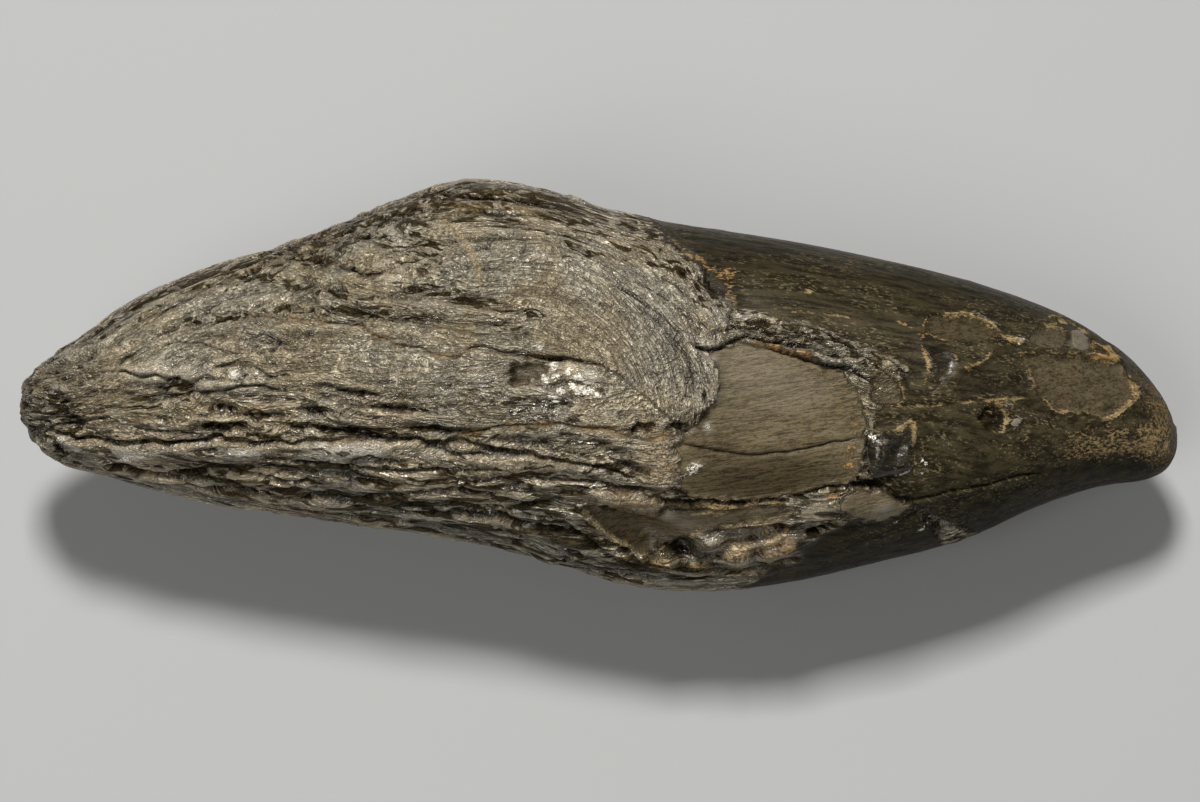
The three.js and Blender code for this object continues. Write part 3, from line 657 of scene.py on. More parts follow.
FLANK_LINES = [
    line(1, 0.4, (-66, 3), (-54, 4), (-42, 2.6), (-30, 3.8), (-16, 2), (-2, 3), (8, 1.6), above=0.2, tan=0.5),
    line(1.2, 0.45, (-52, -4), (-38, -5.4), (-24, -4.6), (-10, -6.6), (4, -6), below=0.3, tan=0.6),
    line(0.8, 0.35, (-40, 9), (-28, 10.2), (-14, 9), (-3, 10), tan=0.3),
    line(0.3, 0.35, (14, -3), (26, -2), (38, -3.4), (50, -3), tan=0.8),
]
FLANK_SPOTS = [
    pale(-46, 0, 8, 1.4, 3, 0.2, 0.4, 0.2), calm(-20, -1, 9, 1.6, -4, 0.1, 0.6),
    dark(-32, -9, 5, 0.9, 4, -0.7, 1.3, 0.8), dark(-4, -9, 6, 1, -6, -0.6, 1.3, 0.6),
    tan(36, 4, 5, 1.6, 8, 0, 1.4, 0.5),
]

# How far the lower flank's drawings lie from the upper flank's
LOWER_FLANK_SHIFT = (5, 4)

# Where the smooth dark crown begins on the broad face, from the upper edge to the lower one
CROWN_EDGE = np.array([
    (5, 30), (8, 22.5), (10, 20.5), (13, 18.6), (13.8, 16.6), (15.2, 14.6), (16.8, 13), (19.6, 11.8),
    (23.5, 11.2), (28, 10.5), (31, 9.2), (34, 7.6), (38, 6.2), (39.5, 4.5), (38.5, 1), (35, -1), (34.6, -9.5),
    (36, -11), (40.5, -13), (38, -15), (32, -15.6), (27, -17.5), (25.5, -20), (20, -22.6),
    (17, -27)], float)
# and where it begins round the back, at these heights up the tooth
CROWN_BACK = ((-24, 24), (20, 9))


def polyline_fields(points, corners):
    """Distance to a drawn line, the foot of it, its side (1 is above a line drawn to the right),
    and how far the foot is from the line's nearer end."""
    spans = np.diff(corners, axis=0)
    lengths = np.hypot(spans[:, 0], spans[:, 1])
    run = np.concatenate(((0,), np.cumsum(lengths)))
    distance = np.full(len(points), np.inf)
    foot = np.zeros_like(points)
    side = np.ones(len(points))
    from_end = np.zeros(len(points))
    for start, span, length, before in zip(corners, spans, lengths, run):
        offset = points - start
        share = np.clip(offset @ span / length**2, 0, 1)
        here = start + share[:, None] * span
        gap = np.hypot(points[:, 0] - here[:, 0], points[:, 1] - here[:, 1])
        closer = gap < distance
        distance[closer] = gap[closer]
        foot[closer] = here[closer]
        side[closer] = np.where(span[0] * offset[:, 1] - span[1] * offset[:, 0] >= 0, 1, -1)[closer]
        place = before + share * length
        from_end[closer] = np.minimum(place, run[-1] - place)[closer]
    return distance, foot, side, from_end


def inside_outline(points, outline):
    inside = np.zeros(len(points), bool)
    for start, end in zip(outline, np.roll(outline, -1, axis=0)):
        spans = (start[1] > points[:, 1]) != (end[1] > points[:, 1])
        rise = end[1] - start[1] or 1e-9
        crossing = (end[0] - start[0]) * (points[:, 1] - start[1]) / rise + start[0]
        inside ^= spans & (points[:, 0] < crossing)
    return inside


def near_box(points, corners, reach):
    low = corners.min(axis=0) - reach
    high = corners.max(axis=0) + reach
    return np.nonzero(((points > low) & (points < high)).all(axis=1))[0]


def closed(outline):
    return np.concatenate((outline, outline[:1]))


def grid_normals(grid):
    along = np.gradient(grid, axis=0)
    around = np.roll(grid, -1, axis=1) - np.roll(grid, 1, axis=1)
    normal = np.cross(along, around)
    return normal / np.linalg.norm(normal, axis=2, keepdims=True)


def smoothed(grid, ring_passes, column_passes):
    for _ in range(column_passes):
        grid = (np.roll(grid, 1, axis=1) + 2 * grid + np.roll(grid, -1, axis=1)) / 4
    for _ in range(ring_passes):
        padded = np.concatenate((grid[:1], grid, grid[-1:]))
        grid = (padded[:-2] + 2 * padded[1:-1] + padded[2:]) / 4
    return grid


def base_grid():
    """The CAD solid's surface, in the tooth's own directions, as rings of points from the root's
    tip to the crown's, with the solid's facets smoothed away."""
    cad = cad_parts["tooth"].data
    corners = to_own(np.array([vertex.co for vertex in cad.vertices], float))
    tree = BVHTree.FromPolygons(corners.tolist(), [tuple(face.vertices) for face in cad.polygons])

    low, high = CORE_ENDS
    run = np.linspace(low - CAP_LENGTH, high + CAP_LENGTH, RINGS + 2)[1:-1]
    x = np.clip(run, low, high)
    tilt = (run - x) / CAP_LENGTH * math.pi / 2
    turn = np.linspace(0, 2 * math.pi, COLUMNS, endpoint=False)
    turn = turn - FRONT_BIAS * np.sin(turn)
    centres = np.stack((x, np.interp(x, *CORE_UP), np.interp(x, *CORE_OUT)), axis=1)[:, None, :]
    rays = np.zeros((RINGS, COLUMNS, 3))
    rays[:, :, 0] = np.sin(tilt)[:, None]
    rays[:, :, 1] = np.cos(tilt)[:, None] * np.sin(turn)
    rays[:, :, 2] = np.cos(tilt)[:, None] * np.cos(turn)

    reach = np.zeros((RINGS, COLUMNS))
    for ring in range(RINGS):
        centre = Vector(centres[ring, 0])
        for column in range(COLUMNS):
            reach[ring, column] = tree.ray_cast(centre, Vector(rays[ring, column]))[3]
    reach = smoothed(reach[:, :, None], *SMOOTHING_PASSES)
    return centres + rays * reach


def wander(own):
    """How far the listed drawings stray, so that nothing in them is straight."""
    strays = [warp_noise.at(own / WOBBLE_LENGTH + shift) for shift in (5.1, 63.7)]
    return WOBBLE * np.stack(strays, axis=1)


def drawing_plane(own):
    """Where points are in the broad face's drawing, as the camera sees them on the plane through
    the tooth's axis."""
    spread = CAMERA_DISTANCE / (CAMERA_DISTANCE - own[:, 2:3])
    return (own[:, :2] - CAMERA_AIM) * spread + CAMERA_AIM + wander(own)


def pulled_to_lines(own, normals, drawn):
    """Slides points along the surface towards the nearest sharp line, so that it is well drawn."""
    face = drawing_plane(own)
    nearest = np.full(len(own), PULL_REACH)
    shift = np.zeros_like(face)
    for corners in drawn:
        chosen = near_box(face, corners, PULL_REACH)
        distance, foot, _, _ = polyline_fields(face[chosen], corners)
        closer = distance < nearest[chosen]
        chosen, distance, foot = chosen[closer], distance[closer], foot[closer]
        nearest[chosen] = distance
        kept = (distance / PULL_REACH) ** (PULL_POWER - 1)
        shift[chosen] = (foot - face[chosen]) * (1 - kept)[:, None]
    shift *= smoothstep(normals[:, 2], *PULL_FACING)[:, None]
    sideways = (shift * normals[:, :2]).sum(axis=1)
    moved = own.copy()
    moved[:, :2] += shift
    moved[:, 2] -= sideways / np.maximum(normals[:, 2], PULL_FACING[0])
    return moved


def sloped(x, up):
    """How far the grain of the upper root has sunk at a point, as its streaks run down to the right."""
    return STREAK_SLOPE * (np.clip(x, *STREAK_ENDS) - STREAK_LEVEL) * smoothstep(up, 0, 20)


def grain_directions(own, dentine, crown):
    """Coordinates in mm that run along the wrinkles, across them, and out of the face, with the
    share of each point that lies in the arcs."""
    x, up, out = own.T
    ahead = np.maximum(x - ARC_CENTRE[0], 0)
    over = np.maximum(up - ARC_CENTRE[1], 0)
    radius = np.hypot(ahead, over)
    arc_across = radius + ARC_CENTRE[1]
    arc_across += sloped(ARC_CENTRE[0], arc_across)
    arc_along = ARC_CENTRE[0] + np.arctan2(ahead, over) * ARC_RADIUS
    ledge = np.interp(x, *ARCS_FOOT)
    inside = x + ARCS_STRAY * patch_noise.at(own / ARCS_STRAY_LENGTH) < ARCS_END
    turned = (up > ledge) * inside * smoothstep(x, *ARCS_LEFT) * (crown < 0.5)
    turned *= smoothstep(out, *ARCS_OUT)
    fan = 1 + FAN_SPREAD * smoothstep(-x, *FAN_ENDS)
    straight = (up - FAN_CENTRE) * fan + FAN_CENTRE + sloped(x, up)
    straight += smoothstep(x, 14, 34) * DENTINE_SLOPE * (x - SLOPE_START)
    along = x + turned * (arc_along - x)
    across = straight + turned * (arc_across - straight)
    bare = dentine > 0.5
    along[bare] = x[bare]
    across[bare] = up[bare] - DENTINE_SLOPE * x[bare]
    arcs = turned * smoothstep(radius, 10, 17) * smoothstep(x, -9, 0)
    return np.stack((along, across, out), axis=1), arcs


# What each point of the mesh carries for the material: what it is made of, its stains, its painted
# shade and highlights, and how it is wrinkled. The relief is how far it stands out in mm, and the others
# are shares, up to about 1.
PAINTS = ("crown", "dentine", "tan", "ochre", "dark", "grey", "white", "gloss", "sand", "rough", "calm",
          "crevice_shade", "arcs", "layered", "relief")


def deepen(layer, chosen, share):
    """Paints over points that have less of this paint."""
    layer[chosen] = np.maximum(layer[chosen], share)


def carve_line(drawn, face, mask, uneven, height, paint):
    """Adds one drawn line: its groove, ribs, ledge, stain and the painted shade in its groove."""
    chosen = near_box(face, drawn["points"], LINE_REACH)
    distance, _, side, from_end = polyline_fields(face[chosen], drawn["points"])
    strength = smoothstep(from_end, 0, LINE_FADE) * mask[chosen]
    width = drawn["width"] * (0.55 + 0.45 * smoothstep(from_end, 0, LINE_TAPER))
    height[chosen] -= drawn["depth"] * (bell(distance, width) * strength)
    rib = bell(distance - RIB_PLACE * width, RIB_WIDTH * width) * strength
    height[chosen] += rib * np.where(side > 0, drawn["above"], drawn["below"])
    fall = np.exp(-distance / STEP_REACH) * smoothstep(distance, 0, STEP_EDGE) * strength
    beyond = side < 0 if drawn["step"] > 0 else side > 0
    height[chosen] += abs(drawn["step"]) * fall * beyond

    core = bell(distance, 0.5 * width + 0.10, 4)
    halo = bell(distance, width + drawn["halo"])
    stain = np.maximum(core, 0.6 * halo) * strength
    deepen(paint["tan"], chosen, drawn["tan"] * stain * uneven[chosen])
    deepen(paint["ochre"], chosen, drawn["rust"] * halo * strength)
    deepen(paint["sand"], chosen, drawn["sand"] * core * strength)
    deepen(paint["crevice_shade"], chosen, drawn["crevice_shade"] * bell(distance, 0.9 * width, 4) * strength)


def carve_spot(lump, face, mask, height, paint):
    """Adds one lump or hollow, with its paints."""
    cos, sin = math.cos(lump["turn"]), math.sin(lump["turn"])
    offset = face - (lump["x"], lump["up"])
    along = (offset[:, 0] * cos + offset[:, 1] * sin) / lump["along"]
    across = (offset[:, 1] * cos - offset[:, 0] * sin) / lump["across"]
    shape = np.exp(-((along**2 + across**2) ** lump["edge"])) * mask
    height += SPOT_GAIN * lump["height"] * shape
    for name, amount in lump["paint"].items():
        paint[name] += amount * shape * (1 - paint[name])


def carve_plate(patch, face, mask, uneven, edge_noise, height, paint):
    """Adds one bounded patch, with its rim and its paints."""
    outline = closed(patch["outline"])
    chosen = near_box(face, outline, PLATE_REACH)
    distance = polyline_fields(face[chosen], outline)[0]
    signed = np.where(inside_outline(face[chosen], patch["outline"]), distance, -distance)
    signed += patch["ragged"] * edge_noise[chosen]
    cover = smoothstep(signed, -patch["edge"] / 2, patch["edge"] / 2) * mask[chosen]
    rim = bell(signed, patch["rim_width"]) * mask[chosen]
    height[chosen] += patch["height"] * cover + patch["rim"] * rim
    halo = bell(signed, 1.8 * patch["rim_width"])
    stain = np.maximum(bell(signed, 0.5 * patch["rim_width"], 4), 0.5 * halo) * uneven[chosen]
    deepen(paint["tan"], chosen, patch["tan"] * stain * mask[chosen])
    for name, amount in patch["paint"].items():
        paint[name][chosen] += amount * cover * (1 - paint[name][chosen])


def carve(face, mask, lines, spots, plates, height, paint):
    """Adds what is drawn on one side of the tooth to the height and the paints."""
    flat = np.column_stack((face, np.zeros(len(face))))
    edge_noise = patch_noise.at(flat / EDGE_NOISE_LENGTH)
    uneven = np.clip(0.85 + 1.3 * patch_noise.at(flat / UNEVEN_LENGTH), 0.3, 1.2)
    for drawn in lines:
        carve_line(drawn, face, mask, uneven, height, paint)
    for lump in spots:
        carve_spot(lump, face, mask, height, paint)
    for patch in plates:
        carve_plate(patch, face, mask, uneven, edge_noise, height, paint)


def crown_share(own, face, facing):
    """1 on the smooth dark crown and 0 on the root."""
    distance, _, side, _ = polyline_fields(face, CROWN_EDGE)
    ragged = BORDER_STRAY * patch_noise.at(own / BORDER_STRAY_LENGTH)
    bays = BAYS * folds_noise.at(own / BAYS_LENGTH)
    on_face = smoothstep(side * distance + ragged, -0.7, 0.7)
    behind = smoothstep(own[:, 0] - np.interp(own[:, 1], *CROWN_BACK) + bays + 2 * ragged, -1, 1)
    return facing * on_face + (1 - facing) * behind


def layered_share(own):
    """1 below the main split, where the root is made of long thin layers."""
    split_up = SPLIT_UP - SPLIT_SLOPE * np.clip(own[:, 0] - SPLIT_START, 0, SPLIT_LENGTH)
    return smoothstep(split_up - own[:, 1], 0, 2)


def bent_grain(grain, paint):
    """The grain's coordinates, bent by noise so that nothing runs quite straight."""
    amount = (1 - paint["dentine"]) * (1 - 0.6 * paint["crown"]) * (1 - 0.55 * paint["arcs"])
    for size, bend in BENDS:
        noise = np.stack([warp_noise.at(grain / size + shift) for shift in (0, 17.3, 41.9)], axis=1)
        grain = grain + noise * bend * amount[:, None]
    return grain


def wrinkle_relief(own, grain, paint, facing):
    """The root's folds, strands, recesses and slits, which fade out on the crown and the dentine."""
    arcs, calm, layered = paint["arcs"], paint["calm"], paint["layered"]
    folds = folds_noise.at(grain / FOLDS)
    strands = ridge_noise.at(grain / STRANDS) * (1 - layered)
    strands += ridge_noise.at(grain / LONG_STRANDS) * layered
    threads = thread_noise.at(grain / THREADS) * (1 - layered)
    threads += thread_noise.at(grain / LONG_THREADS) * layered
    recess = smoothstep(patch_noise.at(grain / RECESSES + 9.7), 0.20, 0.42)
    broken = smoothstep(warp_noise.at(grain / BREAKS + 31.3), -0.05, 0.20)
    slit = bell(thread_noise.at(grain / SLITS + 7.1), SLIT_WIDTH) * broken
    combed = thread_noise.at(grain / COMBED_LINES + 3.3)
    crinkle = ridge_noise.at(own / CRINKLES[0]) + 0.6 * thread_noise.at(own / CRINKLES[1])

    root = (1 - paint["crown"]) * (1 - paint["dentine"])
    strength = root * (1 - 0.8 * paint["sand"]) * (1 - 0.6 * paint["gloss"])
    rugged = strength * (1 - 0.75 * calm) * (1 - 0.8 * arcs) * (1 - 0.12 * facing)
    height = strength * (0.25 + 0.40 * (1 - calm) * (1 - 0.6 * arcs)) * folds
    height += rugged * (0.42 * strands + 0.20 * threads - 0.50 * recess - 0.45 * slit)
    height += strength * (arcs * 0.16 * combed + np.maximum(arcs, calm) * 0.14 * crinkle)
    height += (1 - root) * (0.14 * folds_noise.at(grain / CROWN_FOLDS) + 0.05 * strands)
    height += 0.12 * ridge_noise.at(grain / GRIT) * (paint["rough"] + 0.4 * paint["sand"])
    # the recesses and slits get painted shade
    paint["crevice_shade"] = np.maximum(paint["crevice_shade"], rugged * (0.25 * recess + 0.7 * slit))
    return height


def shade_edges(own, normals, facing, paint):
    """Painted shade: dark ragged bands where the root turns away at its upper edge, a darker lower
    side, and darker upper and lower edges on the crown.
    """
    ragged = patch_noise.at(own / BAND_FOLDS) + 0.6 * thread_noise.at(own / BAND_THREADS)
    upper = smoothstep(normals[:, 1] + 0.3 * ragged, 0.62, 0.85)
    lower = 0.5 * smoothstep(-own[:, 1] + LOWER_BAND_STRAY * ragged, *LOWER_BAND)
    lower *= (1 - paint["sand"]) * (1 - paint["dentine"])
    shade = np.maximum(0.65 * upper, lower) * (1 - paint["crown"]) * facing
    crown_edge = smoothstep(normals[:, 1], 0.35, 0.85) + smoothstep(-normals[:, 1], 0.25, 0.7)
    shade += 0.5 * crown_edge * paint["crown"] * facing
    paint["dark"] += shade * (1 - paint["dark"])


def carve_hidden_sides(own, normals, facing, height, paint):
    """Adds the drawings of the two flanks and of the back, where the camera doesn't see."""
    hidden = 1 - facing
    flank = own[:, [0, 2]] + wander(own)
    back = own[:, :2] + wander(own)
    upper, lower, behind = (hidden * smoothstep(share, 0.3, 0.6)
                            for share in (normals[:, 1], -normals[:, 1], -normals[:, 2]))
    carve(flank, upper, FLANK_LINES, FLANK_SPOTS, [], height, paint)
    carve(flank - LOWER_FLANK_SHIFT, lower, FLANK_LINES, FLANK_SPOTS, [], height, paint)
    carve(back, behind, BACK_LINES, BACK_SPOTS, [], height, paint)


def tooth_points():
    """The carved surface's points in mm, with the paints and the grain's directions there."""
    grid = base_grid()
    own = grid.reshape(-1, 3)
    normals = grid_normals(grid).reshape(-1, 3)
    sharp = [drawn["points"] for drawn in FACE_LINES if drawn["sharp"]]
    sharp += [closed(patch["outline"]) for patch in FACE_PLATES if patch["sharp"]]
    for _ in range(PULL_PASSES):
        own = pulled_to_lines(own, normals, sharp)

    face = drawing_plane(own)
    facing = smoothstep(normals[:, 2], 0.05, 0.3)
    paint = {name: np.zeros(len(own)) for name in PAINTS}
    paint["crown"] = crown_share(own, face, facing)
    height = np.zeros(len(own))
    carve(face, facing, FACE_LINES, FACE_SPOTS, FACE_PLATES, height, paint)
    carve_hidden_sides(own, normals, facing, height, paint)
    grain, paint["arcs"] = grain_directions(own, paint["dentine"], paint["crown"])
    grain = bent_grain(grain, paint)
    paint["layered"] = layered_share(own)
    height += wrinkle_relief(own, grain, paint, facing)
    shade_edges(own, normals, facing, paint)
    grain[:, 2] += WALL_SHARE * height * (1 - paint["dentine"])
    level = smoothed(height.reshape(RINGS, COLUMNS, 1), *RELIEF_PASSES).reshape(-1)
    paint["relief"] = height - level
    carved = own + normals * height[:, None]
    return carved, paint, grain


def within_box(world):
    """Keeps the carved points inside the CAD solid's box, and the belly flat on the table."""
    low, high = (np.array(corner) for corner in cad_box)
    return np.clip(world, low, high)


def with_tips(points):
    """Adds one point at each end of the tooth, in the middle of the last ring, which closes it."""
    points = points.reshape(RINGS * COLUMNS, -1)
    tips = [ring.mean(axis=0, keepdims=True) for ring in (points[:COLUMNS], points[-COLUMNS:])]
    return np.concatenate((points, *tips))


def tooth_faces():
    root_tip = RINGS * COLUMNS
    crown_tip = root_tip + 1
    last = (RINGS - 1) * COLUMNS
    faces = []
    for column in range(COLUMNS):
        after = (column + 1) % COLUMNS
        faces.append((root_tip, column, after))
        faces.append((crown_tip, last + after, last + column))
        for start in range(0, last, COLUMNS):
            ahead = start + COLUMNS
            faces.append((start + column, ahead + column, ahead + after, start + after))
    return faces


def add_tooth(material):
    points, paint, grain = tooth_points()
    mesh = bpy.data.meshes.new("tooth_surface")
    mesh.from_pydata(within_box(to_world(with_tips(points))).tolist(), [], tooth_faces())
    mesh.shade_smooth()
    for name, values in paint.items():
        attribute = mesh.attributes.new(name, "FLOAT", "POINT")
        attribute.data.foreach_set("value", with_tips(values).astype(np.float32).ravel())
    attribute = mesh.attributes.new("grain", "FLOAT_VECTOR", "POINT")
    attribute.data.foreach_set("vector", with_tips(grain).astype(np.float32).ravel())
    mesh.materials.append(material)
    tooth = bpy.data.objects.new("tooth_surface", mesh)
    bpy.context.scene.collection.objects.link(tooth)
    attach(tooth, "root")
    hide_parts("tooth")


# Colours, in linear red, green and blue
CEMENT_DARK = (0.070, 0.057, 0.032)
CEMENT_MIDDLE = (0.220, 0.192, 0.132)
CEMENT_PALE = (0.44, 0.41, 0.33)
CALM_DARK = (0.220, 0.192, 0.136)
CALM_MIDDLE = (0.420, 0.385, 0.300)
# Painted highlight on the calm cement's raised crinkle tops
CALM_PALE = (0.62, 0.58, 0.49)
ARCS_PALE = (0.56, 0.52, 0.43)
TAN_STRAND = (0.28, 0.215, 0.115)
# Painted shade in the grooves and sunken places, and the brown mineral that fills some grooves
RECESS_SHADE = (0.014, 0.011, 0.006)
BROWN_SOIL = (0.060, 0.042, 0.020)
WORN_RIDGE = (0.42, 0.375, 0.285)
COOLER = (0.97, 0.99, 1.0)
WARMER = (1.04, 0.99, 0.89)
GLINT = (0.75, 0.72, 0.64)
CROWN_DARK = (0.014, 0.012, 0.006)
CROWN_BROWN = (0.050, 0.042, 0.023)
CROWN_SPECKLE = (0.175, 0.142, 0.080)
DENTINE_DARK = (0.050, 0.042, 0.024)
DENTINE_BROWN = (0.140, 0.115, 0.070)
DENTINE_STREAK = (0.190, 0.160, 0.105)
DENTINE_GRIT = (0.19, 0.13, 0.06)
DENTINE_FLECK = (0.036, 0.031, 0.018)
# Grey patches, partly painted sheen on glossy places; the palest grey is partly a painted highlight
GREY = (0.27, 0.25, 0.21)
PALE_GREY = (0.72, 0.70, 0.64)
# Partly white crumbs, partly painted highlights on glossy places
WHITE = (0.80, 0.78, 0.72)
# Darkens the dark places: partly dark streaks, partly painted shade in hollows and at the edges
DARK_AND_SHADE = (0.16, 0.14, 0.10)
SAND_DARK = (0.15, 0.115, 0.065)
SAND_PALE = (0.42, 0.33, 0.21)
MINERAL_DARK = (0.125, 0.095, 0.050)
MINERAL_PALE = (0.41, 0.315, 0.160)
MINERAL_FILM = (0.20, 0.145, 0.07)
OCHRE = (0.40, 0.235, 0.085)
# Painted shade, near black, in the cracks, recesses and slits
CREVICE_SHADE = (0.012, 0.009, 0.005)

CONTOUR_CORE = 0.35  # how much of a thin line's width is fully drawn


class Value:
    """What a shader node gives out, which can be added, subtracted and multiplied like a number."""

    def __init__(self, nodes, socket):
        self.nodes = nodes
        self.socket = socket

    def __add__(self, other):
        return self.nodes.math("ADD", self, other)

    def __sub__(self, other):
        return self.nodes.math("SUBTRACT", self, other)

    def __rsub__(self, other):
        return self.nodes.math("SUBTRACT", other, self)

    def __mul__(self, other):
        return self.nodes.math("MULTIPLY", self, other)


class Nodes:
    """Short names for the shader nodes that the materials use."""

    def __init__(self, name):
        self.material = bpy.data.materials.new(name)
        self.material.use_nodes = True
        self.tree = self.material.node_tree
        self.shader = self.tree.nodes["Principled BSDF"]

    def put(self, socket, value):
        """Links a value to the socket, or sets the socket to a number or a colour."""
        if isinstance(value, Value):
            self.tree.links.new(value.socket, socket)
        elif socket.type == "RGBA":
            socket.default_value = (*value, 1.0)
        else:
            socket.default_value = value

    def add(self, kind, inputs, output=0, **settings):
        made = self.tree.nodes.new(kind)
        for name, value in settings.items():
            setattr(made, name, value)
        for name, value in inputs.items():
            self.put(made.inputs[name], value)
        return Value(self, made.outputs[output])

    def finish(self, **inputs):
        """Sets the shader's sockets, which are named here with _ for a space."""
        for name, value in inputs.items():
            self.put(self.shader.inputs[name.replace("_", " ")], value)
        return self.material

    def math(self, operation, first, second=0.0, clamp=False):
        return self.add("ShaderNodeMath", {0: first, 1: second}, operation=operation, use_clamp=clamp)

    def most(self, first, second):
        return self.math("MAXIMUM", first, second)

    def scaled(self, vector, scale):
        return self.add("ShaderNodeMapping", {"Vector": vector, "Scale": scale})

    def noise(self, vector, scale, detail=2.0, roughness=0.5, distortion=0.0):
        inputs = {"Vector": vector, "Scale": scale, "Detail": detail, "Roughness": roughness,
                  "Distortion": distortion}
        return self.add("ShaderNodeTexNoise", inputs, "Fac")

    def ramp(self, value, low, high, start=0.0, end=1.0):
        inputs = {"Value": value, "From Min": low, "From Max": high, "To Min": start, "To Max": end}
        return self.add("ShaderNodeMapRange", inputs, interpolation_type="SMOOTHSTEP")

    def ragged(self, share, noise, spread, low, high):
        """A painted share with its soft edge broken up by noise."""
        away = (noise - 0.5) * spread
        return self.ramp(share + away, low, high) * self.ramp(share, 0.0, 0.15)

    def contours(self, noise, spacing, width):
        """Thin lines along the noise's contours."""
        return self.ramp(self.math("PINGPONG", noise, spacing), CONTOUR_CORE * width, width, 1.0, 0.0)

    def crossing(self, noise, width):
        """Thin lines where the noise crosses its middle value."""
        return self.ramp(self.math("ABSOLUTE", noise - 0.5), 0.0, width, 1.0, 0.0)

    def mix(self, share, first, second, blend_type="MIX"):
        made = self.tree.nodes.new("ShaderNodeMix")
        made.data_type = "RGBA"
        made.blend_type = blend_type
        self.put(made.inputs["Factor"], share)
        colours = [socket for socket in made.inputs if socket.type == "RGBA"]
        self.put(colours[0], first)
        self.put(colours[1], second)
        return Value(self, [socket for socket in made.outputs if socket.type == "RGBA"][0])


